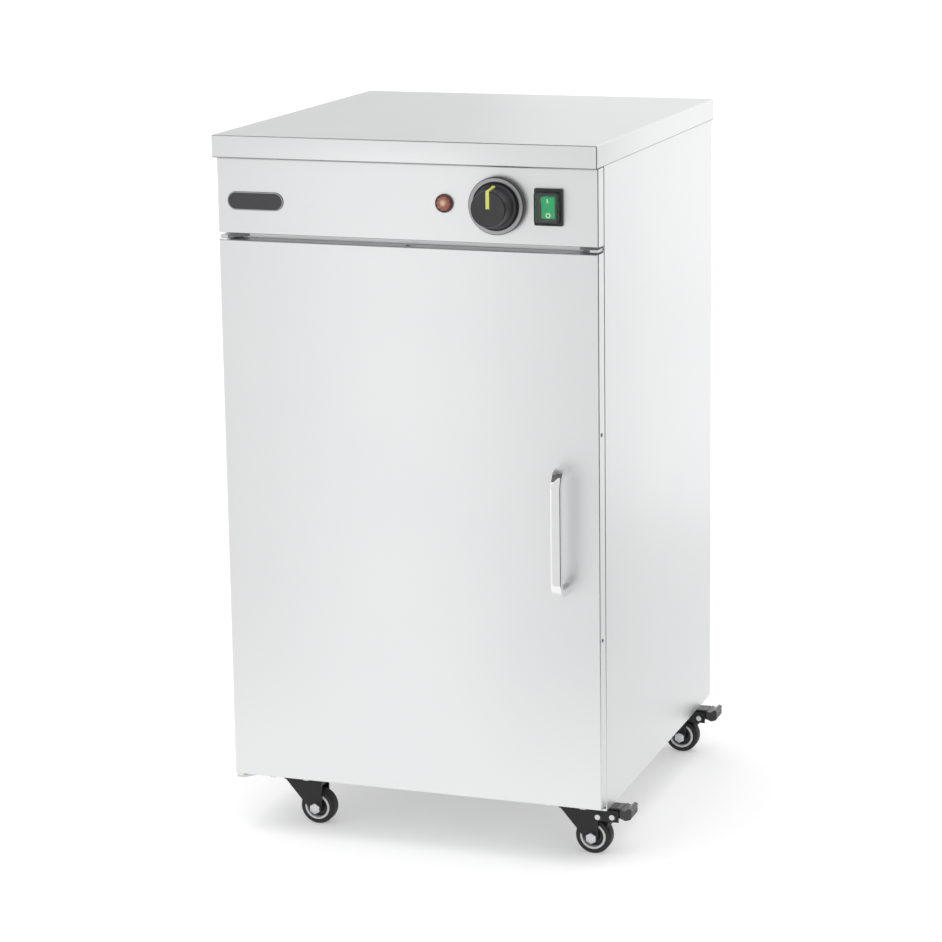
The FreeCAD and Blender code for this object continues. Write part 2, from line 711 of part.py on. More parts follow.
def magnetic_catch():
    """A magnet in a plastic body with a flange behind the front frame."""
    body = new_body("magnetic_catch")
    add(body, "XZ", frame_back, d.catch_depth, catch_outline(d.catch_lip))
    add(body, "XZ", frame_front - d.seal_gap, d.skin + d.seal_gap, catch_outline(0))
    return sub_part(body, "magnetic_catch")


magnetic_catch()


def side_liner(label, side):
    """A chamber wall with a flange spot-welded behind the front frame."""
    body = new_body(label)
    face = chamber_half * side
    outer = (chamber_half + d.skin) * side
    flange = (chamber_half + d.liner_flange) * side
    add(body, "XY", chamber_bottom, chamber_top - chamber_bottom, polygon(
        (face, frame_back), (flange, frame_back), (flange, frame_back + d.skin),
        (outer, frame_back + d.skin), (outer, chamber_back), (face, chamber_back)))
    return sub_part(body, label)


side_liner("left_liner", -1)
side_liner("right_liner", 1)


def rear_liner():
    """The chamber's rear wall, with a fold at its foot and head."""
    body = new_body("rear_liner")
    edge = chamber_half + d.skin
    add(body, "YZ", -edge, edge * 2, polygon(
        (chamber_back, base_top), (chamber_back + d.skin, base_top), (chamber_back + d.skin, chamber_top),
        (chamber_back + d.liner_flange, chamber_top), (chamber_back + d.liner_flange, chamber_top + d.skin),
        (chamber_back, chamber_top + d.skin)))
    return sub_part(body, "rear_liner")


rear_liner()


def chamber_ceiling():
    """The sheet between the chamber and the controls."""
    body = new_body("chamber_ceiling")
    edge = chamber_half + d.skin
    add(body, "YZ", -edge, edge * 2, polygon(
        (frame_back, chamber_top), (chamber_back, chamber_top), (chamber_back, chamber_top + d.skin),
        (frame_back + d.skin, chamber_top + d.skin), (frame_back + d.skin, chamber_top + d.liner_flange),
        (frame_back, chamber_top + d.liner_flange)))
    return sub_part(body, "chamber_ceiling")


chamber_ceiling()


def chamber_floor():
    """The slotted deck over the heater, with a leg welded under each side."""
    body = new_body("chamber_floor")
    edge = chamber_half - d.fit
    leg = edge - d.rear_return
    under = chamber_bottom - d.skin
    front = frame_back + d.fit
    back = chamber_back - d.fit
    add(body, "XZ", front, back - front, rectangle(-edge, under, edge, chamber_bottom))
    for side in (-1, 1):
        add(body, "XZ", front, back - front, rectangle(
            leg * side, base_top, (leg + d.skin) * side, under))
    middle = (front + back) / 2
    count = int((back - front - d.slot_pitch).number // d.slot_pitch.number)
    first = middle - d.slot_pitch * (count - 1) / 2
    for side in (-1, 1):
        centre = (d.slot_length / 2 + d.slot_width) * side
        slot = cut(body, "XY", chamber_bottom - d.skin, d.skin, rectangle(
            centre - d.slot_length / 2, first - d.slot_width / 2,
            centre + d.slot_length / 2, first + d.slot_width / 2))
        repeat(body, slot, "Y", d.slot_pitch, count)
    return sub_part(body, "chamber_floor")


chamber_floor()


def heating_element():
    """A sheathed heater bent in two hairpins, brazed into a foot plate, with a stay under each bend."""
    body = new_body("heating_element")
    reach = d.slot_length
    lane = d.element_bend * 2 + d.element_radius
    front = frame_back + d.slot_pitch
    foot_y = chamber_back - d.slot_pitch
    tails = foot_y + d.element_bend
    level = base_top + d.element_rise
    bend = d.element_bend
    leg = lane / 4
    path = polygon((-leg, tails), (-leg, front + lane, bend / 2), (-reach, front + lane, bend),
                   (-reach, front, bend), (reach, front, bend), (reach, front + lane, bend),
                   (leg, front + lane, bend / 2), (leg, tails), closed=False)
    sweep(body, "XZ", tails, circle(-leg, level, d.element_radius), "XY", level, path)
    add(body, "XZ", foot_y, d.base_sheet, rectangle(-lane, base_top, lane, level + d.element_radius * 2))
    stay_y = front + lane / 2
    stay_half = d.element_bend / 3
    for side in (-1, 1):
        add(body, "YZ", reach * side - d.base_sheet / 2, d.base_sheet, rectangle(
            stay_y - stay_half, base_top, stay_y + stay_half, level))
    return sub_part(body, "heating_element")


heating_element()


shelf_front = frame_back + d.shelf_inset
shelf_back = chamber_back - d.shelf_inset


def shelf_runners():
    """Four angles screwed to the side liners, two to a shelf."""
    pieces = []
    for level in (1, 2):
        for side in (-1, 1):
            body = new_body("runner")
            wall = chamber_half * side
            top = chamber_bottom + d.shelf_pitch * level
            edge = (chamber_half - d.runner_leg) * side
            face = (chamber_half - d.runner_sheet) * side
            add(body, "XZ", shelf_front, shelf_back - shelf_front, polygon(
                (wall, top - d.runner_leg), (wall, top), (edge, top), (edge, top - d.runner_sheet),
                (face, top - d.runner_sheet), (face, top - d.runner_leg)))
            pieces.append(body)
    return sub_part(group("shelf_runner_group", pieces), "shelf_runners")


shelf_runners()


def wire_shelf(label, level):
    """A welded shelf: a closed frame rod, one stretcher under the wires, and wires from front to back."""
    body = new_body(label)
    reach = chamber_half - d.shelf_play - d.shelf_rod
    front = shelf_front + d.shelf_rod
    back = shelf_back - d.shelf_rod
    middle = (front + back) / 2
    centre = chamber_bottom + d.shelf_pitch * level + d.shelf_rod
    loop = rectangle(-reach, front, reach, back, d.shelf_corner)
    sweep(body, "XZ", middle, circle(reach, centre, d.shelf_rod), "XY", centre, loop)
    add(body, "YZ", -reach, reach * 2, circle(middle, centre, d.shelf_rod))
    wire_level = centre + d.shelf_rod + d.shelf_wire - d.weld_depth
    count = int((reach * 2 - d.shelf_corner).number // d.wire_pitch.number)
    first = -(d.wire_pitch * (count - 1) / 2)
    wire = add(body, "XZ", front, back - front, circle(first, wire_level, d.shelf_wire))
    repeat(body, wire, "X", d.wire_pitch, count)
    return sub_part(body, label)


wire_shelf("lower_shelf", 1)
wire_shelf("upper_shelf", 2)

# ---------------------------------------------------------------------------------------------------
# Hinge
# ---------------------------------------------------------------------------------------------------
hinge_outer = half - d.skin - d.running_play
hinge_inner = hinge_outer - d.hinge_width


def hinge_bracket(name, side, plate_bottom, leg_down, pin):
    """A steel plate through the front frame with an upright leg behind it, with or without its pin."""
    body = new_body(name)
    back = frame_back + d.hinge_plate
    eye = d.pivot_depth - d.pivot_radius - d.skin
    add(body, "XY", plate_bottom, d.hinge_plate, polygon(
        (hinge_outer * side, eye), (hinge_outer * side, back), (hinge_inner * side, back),
        (hinge_inner * side, body_front, d.hinge_plate), ((hinge_outer - d.hinge_width / 3) * side, eye)))
    low = base_top if leg_down else plate_bottom
    high = low + d.hinge_leg
    leg = rectangle(hinge_inner * side, low, hinge_outer * side, high)
    add(body, "XZ", frame_back, d.hinge_plate, leg)
    centre = (-pivot_x) * side
    if pin:
        add(body, "XY", *pin, circle(centre, d.pivot_depth, d.pivot_radius))
    else:
        cut(body, "XY", plate_bottom, d.hinge_plate, circle(centre, d.pivot_depth, d.pivot_radius))
    return body


upper_pin = (door_top - d.pivot_reach, d.pivot_reach + d.hinge_clearance + d.hinge_plate)
lower_pin = (lower_plate, d.pivot_reach + d.hinge_clearance + d.hinge_plate)
sub_part(group("top_hinge_group", [hinge_bracket("left_bracket", -1, upper_plate, False, upper_pin),
                                   hinge_bracket("right_bracket", 1, upper_plate, False, None)]),
         "top_hinge_brackets")
sub_part(hinge_bracket("bottom_hinge_bracket", -1, lower_plate, True, lower_pin), "bottom_hinge_bracket")

# ---------------------------------------------------------------------------------------------------
# Door
# ---------------------------------------------------------------------------------------------------
rivet_levels = [door_bottom + d.rivet_lower, door_bottom + d.rivet_upper]
handle_middle = door_bottom + d.handle_z
screw_reach = d.handle_depth * 2 / 3
screw_levels = [handle_middle - d.handle_holes / 2, handle_middle + d.handle_holes / 2]


def door_outer_pan():
    """The door's face, folded back on four sides."""
    body = new_body("door_outer_pan")
    add(body, "XZ", 0, d.door_thickness, rectangle(-half, door_bottom, half, door_top))
    cut(body, "XZ", d.skin, d.door_thickness - d.skin, rectangle(
        -inner_half, door_bottom + d.skin, inner_half, door_top - d.skin))
    ease_edges(body, "Fillet", d.bend, lambda box: near(box.YMin, 0) and near(box.YMax, 0))
    cut(body, "XY", door_bottom - d.skin, d.door_height + d.skin * 2,
        circle(pivot_x, d.pivot_depth, d.bush_radius + d.pivot_play))
    slits = []
    for side in (-1, 1):
        inner = (half - d.slit_inset) * side
        slits.append(rectangle(inner - d.slit_width / 2, d.pivot_depth, inner + d.slit_width / 2,
                               d.pivot_depth + d.slit_length))
    cut(body, "XY", door_bottom - d.skin, d.door_height + d.skin * 2, *slits)
    shank = d.rivet_shank + d.pivot_play
    cut(body, "YZ", -half - d.skin, d.body_width + d.skin * 2,
        *[circle(d.rivet_depth, level, shank) for level in rivet_levels])
    cut(body, "XY", door_bottom - d.skin, d.door_height + d.skin * 2, circle(0, d.rivet_depth, shank))
    cut(body, "XZ", 0, d.skin, *[circle(handle_x, level, d.handle_screw + d.pivot_play)
                                 for level in screw_levels])
    return sub_part(body, "door_outer_pan")


door_outer_pan()


def door_inner_pan():
    """The door's back, folded forwards inside the outer pan and riveted to its edges."""
    body = new_body("door_inner_pan")
    edge = inner_half
    low = door_bottom + d.skin
    high = door_top - d.skin
    front = d.door_thickness - d.inner_pan_depth
    add(body, "XZ", front, d.inner_pan_depth, rectangle(-edge, low, edge, high))
    cut(body, "XZ", front, d.inner_pan_depth - d.skin, rectangle(
        d.skin - edge, low + d.skin, edge - d.skin, high - d.skin))
    shank = d.rivet_shank + d.pivot_play
    cut(body, "YZ", -half, d.body_width, *[circle(d.rivet_depth, level, shank) for level in rivet_levels])
    cut(body, "XY", door_bottom, d.door_height, circle(0, d.rivet_depth, shank))
    bush = circle(pivot_x, d.pivot_depth, d.bush_radius + d.pivot_play)
    cut(body, "XY", door_bottom, d.door_height, bush)
    return sub_part(body, "door_inner_pan")


door_inner_pan()


def door_gasket():
    """The seal round the chamber's mouth, on the door's back."""
    body = new_body("door_gasket")
    outer = chamber_half + d.gasket_inset + d.gasket_width
    inner = chamber_half + d.gasket_inset
    reach_out = d.gasket_inset + d.gasket_width
    add(body, "XZ", d.door_thickness, frame_front - d.door_thickness - d.seal_gap,
        rectangle(-outer, chamber_bottom - reach_out, outer, chamber_top + reach_out, d.gasket_width),
        rectangle(-inner, chamber_bottom - d.gasket_inset, inner, chamber_top + d.gasket_inset))
    return sub_part(body, "door_gasket")


door_gasket()


def catch_plate():
    """The steel plate that the magnet holds."""
    body = new_body("catch_plate")
    thickness = frame_front - d.seal_gap * 2 - d.door_thickness
    add(body, "XZ", d.door_thickness, thickness, catch_outline(0))
    return sub_part(body, "catch_plate")


catch_plate()


def door_handle():
    """A bow handle of flat-oval section, swept from its middle to one foot and mirrored."""
    body = new_body("door_handle")
    bar = d.handle_depth / 2 - d.handle_reach
    across = d.handle_width / 2
    thick = d.handle_depth / 2
    section = rectangle(-across, bar - thick, across, bar + thick, thick * 0.7)
    foot = d.handle_holes / 2
    corner = d.handle_length / 2
    lean = (corner - foot) / bar
    path = polygon((bar, 0), (bar, corner, d.handle_bend), (d.handle_depth, foot + lean * d.handle_depth),
                   closed=False)
    sweep(body, "XY", 0, section, "YZ", 0, path)
    mirror = body.newObject("PartDesign::Mirrored", "door_handle_mirrored")
    mirror.Originals = [body.Tip]
    mirror.MirrorPlane = (origin_feature(body, "XY_Plane"), [""])
    body.Tip = mirror
    doc.recompute()
    cut(body, "XZ", 0, d.handle_depth * 3, rectangle(
        -d.handle_width, -d.handle_length, d.handle_width, d.handle_length))
    for level in (-foot, foot):
        cut(body, "XZ", -screw_reach, screw_reach, circle(0, level, d.handle_screw))
    return sub_part(body, "door_handle", handle_x, 0, handle_middle)


door_handle()


def handle_screws():
    """Two screws through the door's face into the handle's feet."""
    pieces = []
    for level in screw_levels:
        body = new_body("handle_screw")
        head = d.skin + d.handle_screw
        end = d.running_play - screw_reach
        turn(body, "XY", polygon((0, head), (d.handle_screw * 2, head), (d.handle_screw * 2, d.skin),
                                 (d.handle_screw, d.skin), (d.handle_screw, end), (0, end)))
        place(body, handle_x, 0, level)
        pieces.append(body)
    return sub_part(group("handle_screw_group", pieces), "handle_screws")


handle_screws()


def pop_rivet(name, x, y, z, axis):
    """A domed rivet through two sheets; axis is the way its head faces."""
    body = new_body(name)
    rise = d.rivet_shank * 0.7
    turn(body, "XZ", polygon((0, rise), (d.rivet_head * 0.6, rise * 0.8), (d.rivet_head, 0),
                             (d.rivet_shank, 0), (d.rivet_shank, -d.skin * 3), (0, -d.skin * 3)))
    place(body, x, y, z)
    body.Placement.Rotation = FreeCAD.Rotation(Vector(0, 0, 1), Vector(*axis))
    return body


def door_rivets():
    """Pop rivets through the pans' edges: two on each side, one above and one below."""
    pieces = []
    for side in (-1, 1):
        for level in rivet_levels:
            pieces.append(pop_rivet("side_rivet", half * side, d.rivet_depth, level, (side, 0, 0)))
    pieces.append(pop_rivet("top_rivet", 0, d.rivet_depth, door_top, (0, 0, 1)))
    pieces.append(pop_rivet("bottom_rivet", 0, d.rivet_depth, door_bottom, (0, 0, -1)))
    return sub_part(group("door_rivet_group", pieces), "door_rivets")


door_rivets()


def pivot_bushes():
    """Two flanged nylon bushes pressed into the door's top and bottom."""
    pieces = []
    flange = d.hinge_clearance - d.running_play
    bore = d.pivot_radius + d.pivot_play
    for level, up in ((door_bottom, -1), (door_top, 1)):
        body = new_body("pivot_bush")
        turn(body, "XZ", polygon((bore, flange * up), (d.bush_flange, flange * up), (d.bush_flange, 0),
                                 (d.bush_radius, 0), (d.bush_radius, -d.pivot_reach * up),
                                 (bore, -d.pivot_reach * up)))
        place(body, pivot_x, d.pivot_depth, level)
        pieces.append(body)
    return sub_part(group("pivot_bush_group", pieces), "pivot_bushes")


pivot_bushes()

# ---------------------------------------------------------------------------------------------------
# Control fascia and what it carries
# ---------------------------------------------------------------------------------------------------


def control_fascia():
    """A folded box front with stand-offs against the side panels' front folds."""
    body = new_body("control_fascia")
    add(body, "XZ", 0, d.door_thickness, rectangle(-half, fascia_bottom, half, fascia_top))
    cut(body, "XZ", d.skin, d.door_thickness - d.skin, rectangle(
        -inner_half, fascia_bottom + d.skin, inner_half, fascia_top - d.skin))
    ease_edges(body, "Fillet", d.bend, lambda box: near(box.YMin, 0) and near(box.YMax, 0))
    standoffs = []
    for side in (-1, 1):
        flange = rectangle((inner_half - d.front_return) * side, fascia_bottom + d.skin,
                           inner_half * side, fascia_top - d.skin)
        add(body, "XZ", d.door_thickness - d.skin, d.skin, flange)
        for level in (fascia_bottom + d.front_return, fascia_top - d.front_return):
            standoffs.append(circle((half - d.front_return / 2) * side, level, d.standoff_radius))
    add(body, "XZ", d.door_thickness, d.door_gap, *standoffs)
    cut(body, "XZ", 0, d.skin,
        circle(dial_x, control_line, d.spindle_bush + d.fit),
        circle(lamp_x, control_line, d.lamp_body + d.fit),
        rectangle(switch_x - switch_half - d.fit, control_line - switch_rise - d.fit,
                  switch_x + switch_half + d.fit, control_line + switch_rise + d.fit))
    return sub_part(body, "control_fascia")


switch_half = d.switch_body_width / 2
switch_rise = d.switch_body_height / 2
control_fascia()


def badge_plate():
    """A bare pill-shaped plate with a bevelled edge."""
    body = new_body("badge_plate")
    across = d.badge_width / 2
    rise = d.badge_height / 2
    add(body, "XZ", -d.badge_sheet, d.badge_sheet, rectangle(-across, -rise, across, rise, rise * 0.98))
    ease_edges(body, "Chamfer", d.badge_sheet / 2,
               lambda box: near(box.YMin, -d.badge_sheet) and near(box.YMax, -d.badge_sheet))
    return sub_part(body, "badge_plate", badge_x, 0, control_line - d.badge_drop)


badge_plate()


def lamp_bezel():
    """The pilot lamp's bezel and body, open at the front for the lens."""
    body = new_body("lamp_bezel")
    seat = d.lamp_lens + d.fit / 2
    turn(body, "XY", polygon((0, d.door_thickness), (d.lamp_body, d.door_thickness), (d.lamp_body, 0),
                             (d.lamp_flange, 0), (d.lamp_flange, -d.lamp_reach / 3),
                             (d.lamp_flange - d.skin, -d.lamp_reach * 0.6), (seat, -d.lamp_reach * 0.6),
                             (seat, -d.skin), (0, -d.skin)))
    return sub_part(body, "lamp_bezel", lamp_x, 0, control_line)


def lamp_lens():
    """A domed lens pressed into the bezel."""
    body = new_body("lamp_lens")
    shoulder = -d.lamp_reach * 0.6
    turn(body, "XY", polygon((0, -d.skin), (d.lamp_lens, -d.skin), (d.lamp_lens, shoulder),
                             (d.lamp_lens * 0.82, -d.lamp_reach * 0.85), (d.lamp_lens * 0.45, -d.lamp_reach),
                             (0, -d.lamp_reach)))
    return sub_part(body, "lamp_lens", lamp_x, 0, control_line)


lamp_bezel()
lamp_lens()


def dial_ring():
    """A turned metal ring with a recess for the knob's flange."""
    body = new_body("dial_ring")
    recess = d.knob_flange + d.skin * 1.5
    floor = d.dial_recess - d.dial_depth
    turn(body, "XY", polygon((d.spindle_bush + d.fit, 0), (d.dial_radius, 0),
                             (d.dial_radius, -d.dial_depth, d.skin), (recess, -d.dial_depth),
                             (recess, floor), (d.spindle_bush + d.fit, floor)))
    return sub_part(body, "dial_ring", dial_x, 0, control_line)


dial_ring()
knob_back = d.dial_recess - d.dial_depth - d.knob_play
spindle_front = d.skin * 6 - d.knob_reach


def thermostat_knob():
    """A moulded knob: a flange, a tapered skirt and a flat cap with a raised pointer."""
    body = new_body("thermostat_knob")
    flange_front = knob_back - d.knob_flange_depth
    rise = d.skin / 2
    front = rise - d.knob_reach
    shoulder = d.knob_cap + d.skin * 2
    turn(body, "XY", polygon((d.spindle_radius, knob_back), (d.knob_flange, knob_back),
                             (d.knob_flange, flange_front, d.skin), (shoulder, flange_front),
                             (d.knob_cap, front, d.bend), (0, front), (0, spindle_front),
                             (d.spindle_radius, spindle_front)))
    add(body, "YZ", -d.bend, d.bend * 2, polygon(
        (front + d.skin, d.bend), (front - rise, d.bend), (front - rise, d.knob_cap - d.bend),
        (front + d.bend, d.knob_cap + rise), (flange_front - d.skin, shoulder + rise),
        (flange_front - d.skin, shoulder - d.skin)))
    return sub_part(body, "thermostat_knob", dial_x, 0, control_line)


thermostat_knob()


def thermostat_spindle():
    """The steel spindle that the knob is pressed on."""
    body = new_body("thermostat_spindle")
    add(body, "XZ", spindle_front, d.door_thickness - spindle_front, circle(0, 0, d.spindle_radius))
    return sub_part(body, "thermostat_spindle", dial_x, 0, control_line)


thermostat_spindle()


def thermostat_body():
    """The capillary thermostat behind the fascia; its bush passes through the dial ring."""
    body = new_body("thermostat_body")
    across = d.thermostat_size / 2
    add(body, "XZ", d.skin, d.thermostat_depth, rectangle(-across, -across, across, across, d.bend * 2))
    bush_front = d.dial_recess - d.dial_depth
    add(body, "XZ", bush_front, d.skin - bush_front, circle(0, 0, d.spindle_bush))
    cut(body, "XZ", bush_front, d.door_thickness + d.skin - bush_front,
        circle(0, 0, d.spindle_radius + d.pivot_play))
    return sub_part(body, "thermostat_body", dial_x, 0, control_line)


thermostat_body()


def thermostat_bulb():
    """The capillary tube from the thermostat down to its bulb, which lies on the chamber ceiling."""
    body = new_body("thermostat_bulb")
    start = d.skin + d.thermostat_depth
    bulb_z = chamber_top + d.skin + d.bulb_radius
    turn_y = start + d.capillary_run
    bulb_start = turn_y + d.capillary_run
    path = polygon((start, control_line), (turn_y, control_line, d.capillary_bend),
                   (turn_y, bulb_z, d.capillary_bend), (bulb_start, bulb_z), closed=False)
    sweep(body, "XZ", start, circle(0, control_line, d.capillary_radius), "YZ", 0, path)
    add(body, "XZ", bulb_start, d.bulb_length, circle(0, bulb_z, d.bulb_radius))
    return sub_part(body, "thermostat_bulb", dial_x, 0, 0)


thermostat_bulb()
rocker_y = d.skin


def switch_housing():
    """The switch's bezel and its body behind the fascia, with a well for the rocker."""
    body = new_body("switch_housing")
    across = d.switch_width / 2
    rise = d.switch_height / 2
    add(body, "XZ", -d.switch_bezel, d.switch_bezel, rectangle(-across, -rise, across, rise, d.bend))
    add(body, "XZ", 0, d.switch_body_depth, rectangle(-switch_half, -switch_rise, switch_half, switch_rise))
    well_half = d.rocker_width / 2 + d.running_play
    well_rise = d.rocker_height / 2 + d.running_play * 4
    cut(body, "XZ", -d.switch_bezel, d.switch_bezel + d.door_thickness / 2,
        rectangle(-well_half, -well_rise, well_half, well_rise))
    pin_half = well_half + d.bend
    cut(body, "YZ", -pin_half, pin_half * 2, circle(rocker_y, 0, d.rocker_pin + d.pivot_play))
    return sub_part(body, "switch_housing", switch_x, 0, control_line)


switch_housing()


def switch_cover():
    """A clear flexible cover over the rocker, clipped on the bezel."""
    body = new_body("switch_cover")
    across = d.cover_width / 2
    rise = d.cover_height / 2
    depth = d.cover_depth - d.switch_bezel
    add(body, "XZ", -d.cover_depth, depth, rectangle(-across, -rise, across, rise, d.bend * 2))
    cut(body, "XZ", d.cover_wall - d.cover_depth, depth - d.cover_wall, rectangle(
        d.cover_wall - across, d.cover_wall - rise, across - d.cover_wall, rise - d.cover_wall, d.bend))
    return sub_part(body, "switch_cover", switch_x, 0, control_line)


def switch_rocker():
    """A rocker with two faces, turned so that its lower face is pressed in."""
    body = new_body("switch_rocker")
    rise = d.rocker_height / 2
    crest = -d.switch_bezel - d.rocker_pin - rocker_y
    keel = d.rocker_pin * 2
    add(body, "YZ", -d.rocker_width / 2, d.rocker_width, polygon(
        (crest - d.skin, rise, d.skin), (crest + d.skin, 0), (crest - d.skin, -rise, d.skin),
        (0, -rise), (keel, -rise / 3), (keel, rise / 3), (0, rise)))
    pin_half = d.rocker_width / 2 + d.running_play + d.skin
    add(body, "YZ", -pin_half, pin_half * 2, circle(0, 0, d.rocker_pin))
    sub_part(body, "switch_rocker", switch_x, rocker_y, control_line)
    body.Placement.Rotation = FreeCAD.Rotation(Vector(1, 0, 0), d.rocker_tilt.number)
    return body


switch_cover()
switch_rocker()

# ---------------------------------------------------------------------------------------------------
# Services
# ---------------------------------------------------------------------------------------------------


def terminal_block():
    """A plastic terminal block on the chamber's ceiling, with three screw wells."""
    body = new_body("terminal_block")
    across = d.terminal_length / 2
    half_depth = d.terminal_depth / 2
    base = chamber_top + d.skin
    add(body, "XY", base, d.terminal_height, rectangle(-across, -half_depth, across, half_depth))
    wells = [circle(d.terminal_length / 3 * step, 0, d.terminal_well) for step in (-1, 0, 1)]
    cut(body, "XY", base + d.terminal_height - d.terminal_well, d.terminal_well, *wells)
    return sub_part(body, "terminal_block", gland_x, chamber_back - d.rear_space, 0)


def cable_gland():
    """A gland with a hexagon outside the back panel and a locknut inside; its bore takes a supply cord."""
    body = new_body("cable_gland")
    dome = d.gland_thread - d.skin
    turn(body, "XY", polygon(
        (d.gland_bore, -d.gland_inside), (d.gland_thread, -d.gland_inside), (d.gland_thread, d.gland_nut),
        (d.gland_thread + d.skin, d.gland_nut), (dome, d.gland_reach), (d.gland_bore, d.gland_reach)))
    for start in (0, -d.skin - d.gland_nut):
        add(body, "XZ", start, d.gland_nut, hexagon(d.gland_flats), circle(0, 0, d.gland_bore))
    return sub_part(body, "cable_gland", gland_x, back_outer, lid_bottom - d.gland_drop)


terminal_block()
cable_gland()

# ---------------------------------------------------------------------------------------------------
# Casters, drawn with the swivel axis at x = y = 0 and the wheel trailing towards +x
# ---------------------------------------------------------------------------------------------------


def caster_plate(x, y):
    """A top plate with its race and its riveted kingpin."""
    body = new_body("caster_plate")
    side = d.plate_size / 2
    add(body, "XY", plate_under, d.plate_sheet, rectangle(-side, -side, side, side, d.plate_corner))
    hole = d.plate_holes / 2
    cut(body, "XY", plate_under, d.plate_sheet, *[
        circle(hole * across, hole * along, d.bolt_radius + d.pivot_play)
        for across in (-1, 1) for along in (-1, 1)])
    add(body, "XY", race_low, d.upper_race_height, circle(0, 0, d.upper_race_radius))
    head_low = crown_bottom - d.running_play - d.kingpin_head_height
    add(body, "XY", head_low, race_low - head_low, circle(0, 0, d.kingpin_radius))
    add(body, "XY", head_low, d.kingpin_head_height, circle(0, 0, d.kingpin_head))
    place(body, x, y, 0)
    return body


def caster_bolt(x, y):
    """A bolt up through the top plate and the base pan, with its nut."""
    body = new_body("caster_bolt")
    bottom = plate_under - d.bolt_head
    top = base_top + d.bolt_nut + d.skin
    add(body, "XY", bottom, d.bolt_head, hexagon(d.bolt_flats))
    add(body, "XY", base_top, d.bolt_nut, hexagon(d.bolt_flats))
    add(body, "XY", bottom, top - bottom, circle(0, 0, d.bolt_radius))
    place(body, x, y, 0)
    return body


sub_part(group("caster_plate_group", [caster_plate(x, y) for _, x, y in caster_places]), "caster_plates")
sub_part(group("caster_bolt_group", [
    caster_bolt(x + d.plate_holes / 2 * across, y + d.plate_holes / 2 * along)
    for _, x, y in caster_places for across in (-1, 1) for along in (-1, 1)]), "caster_bolts")


def caster_fork(place_name, x, y, braked):
    """A pressed fork with a race cup; a braked one carries two rivets for its pedal."""
    body = new_body(place_name + "_fork")
    front = d.caster_trail - d.fork_front
    rear = d.caster_trail + d.fork_rear
    add(body, "XY", crown_bottom, d.fork_crown, rectangle(front, -fork_half, rear, fork_half))
    meet_x = d.caster_trail - d.fork_rear * 0.758
    meet_z = axle_z - d.fork_rear * 0.652
    for inner in (d.fork_inside / 2, -fork_half):
        add(body, "XZ", inner, d.fork_sheet, polygon(
            (front, crown_top), (meet_x, meet_z), (d.caster_trail, axle_z), (rear, axle_z),
            (rear, crown_top)))
        add(body, "XZ", inner, d.fork_sheet, circle(d.caster_trail, axle_z, d.fork_rear))
        if braked:
            add(body, "XZ", inner, d.fork_sheet, rectangle(
                rear - d.skin, axle_z + pedal_rise - d.bracket_drop,
                d.caster_trail + pedal_x + d.bracket_end, crown_top))
    if braked:
        for along, rise in ((d.stay_x, d.wheel_radius + d.stay_gap), (pedal_x, pedal_rise)):
            pin_x = d.caster_trail + along
            pin_z = axle_z + rise
            add(body, "XZ", -fork_half, fork_half * 2, circle(pin_x, pin_z, d.brake_rivet))
            for start in (fork_half, -fork_half - d.brake_head_height):
                add(body, "XZ", start, d.brake_head_height, circle(pin_x, pin_z, d.brake_head))
    else:
        add(body, "XZ", -d.fork_inside / 2, d.fork_inside, rectangle(
            rear - d.stop_flange, crown_bottom - d.stop_drop, rear, crown_top))
    add(body, "XY", crown_top, d.race_cup_height, circle(0, 0, d.race_cup_radius))
    cut(body, "XY", crown_bottom, d.fork_crown + d.race_cup_height,
        circle(0, 0, d.kingpin_radius + d.pivot_play))
    axle = circle(d.caster_trail, axle_z, d.axle_radius + d.pivot_play)
    cut(body, "XZ", -fork_half, fork_half * 2, axle)
    return sub_part(body, place_name + "_fork", x, y, 0)


def caster_axle(place_name, x, y):
    """The axle bolt with a hexagon head in front and a nut behind."""
    body = new_body(place_name + "_axle")
    start = -fork_half - d.axle_head
    add(body, "XZ", start, d.axle_head, hexagon(d.axle_flats))
    add(body, "XZ", fork_half, d.axle_head, hexagon(d.axle_flats))
    add(body, "XZ", start, (fork_half + d.axle_head) * 2 + d.skin, circle(0, 0, d.axle_radius))
    return sub_part(body, place_name + "_axle", x + d.caster_trail, y, axle_z)


def caster_hub(place_name, x, y):
    """A moulded wheel centre with a boss, a web and a rim."""
    body = new_body(place_name + "_hub")
    bore = d.axle_radius + d.pivot_play
    boss = d.fork_inside / 2 - d.running_play * 2
    rim = d.wheel_width / 2 - d.running_play * 2
    rim_inside = d.rim_radius - d.rim_wall
    turn(body, "XY", polygon(
        (bore, -boss), (d.boss_radius, -boss), (d.boss_radius, -d.web_half), (rim_inside, -d.web_half),
        (rim_inside, -rim), (d.rim_radius, -rim), (d.rim_radius, rim), (rim_inside, rim),
        (rim_inside, d.web_half), (d.boss_radius, d.web_half), (d.boss_radius, boss), (bore, boss)))
    return sub_part(body, place_name + "_hub", x + d.caster_trail, y, axle_z)


def caster_tyre(place_name, x, y):
    """A rubber tyre with rounded shoulders."""
    body = new_body(place_name + "_tyre")
    edge = d.wheel_width / 2
    turn(body, "XY", polygon(
        (d.rim_radius, -edge), (d.wheel_radius, -edge, d.tyre_shoulder),
        (d.wheel_radius, edge, d.tyre_shoulder), (d.rim_radius, edge)))
    return sub_part(body, place_name + "_tyre", x + d.caster_trail, y, axle_z)


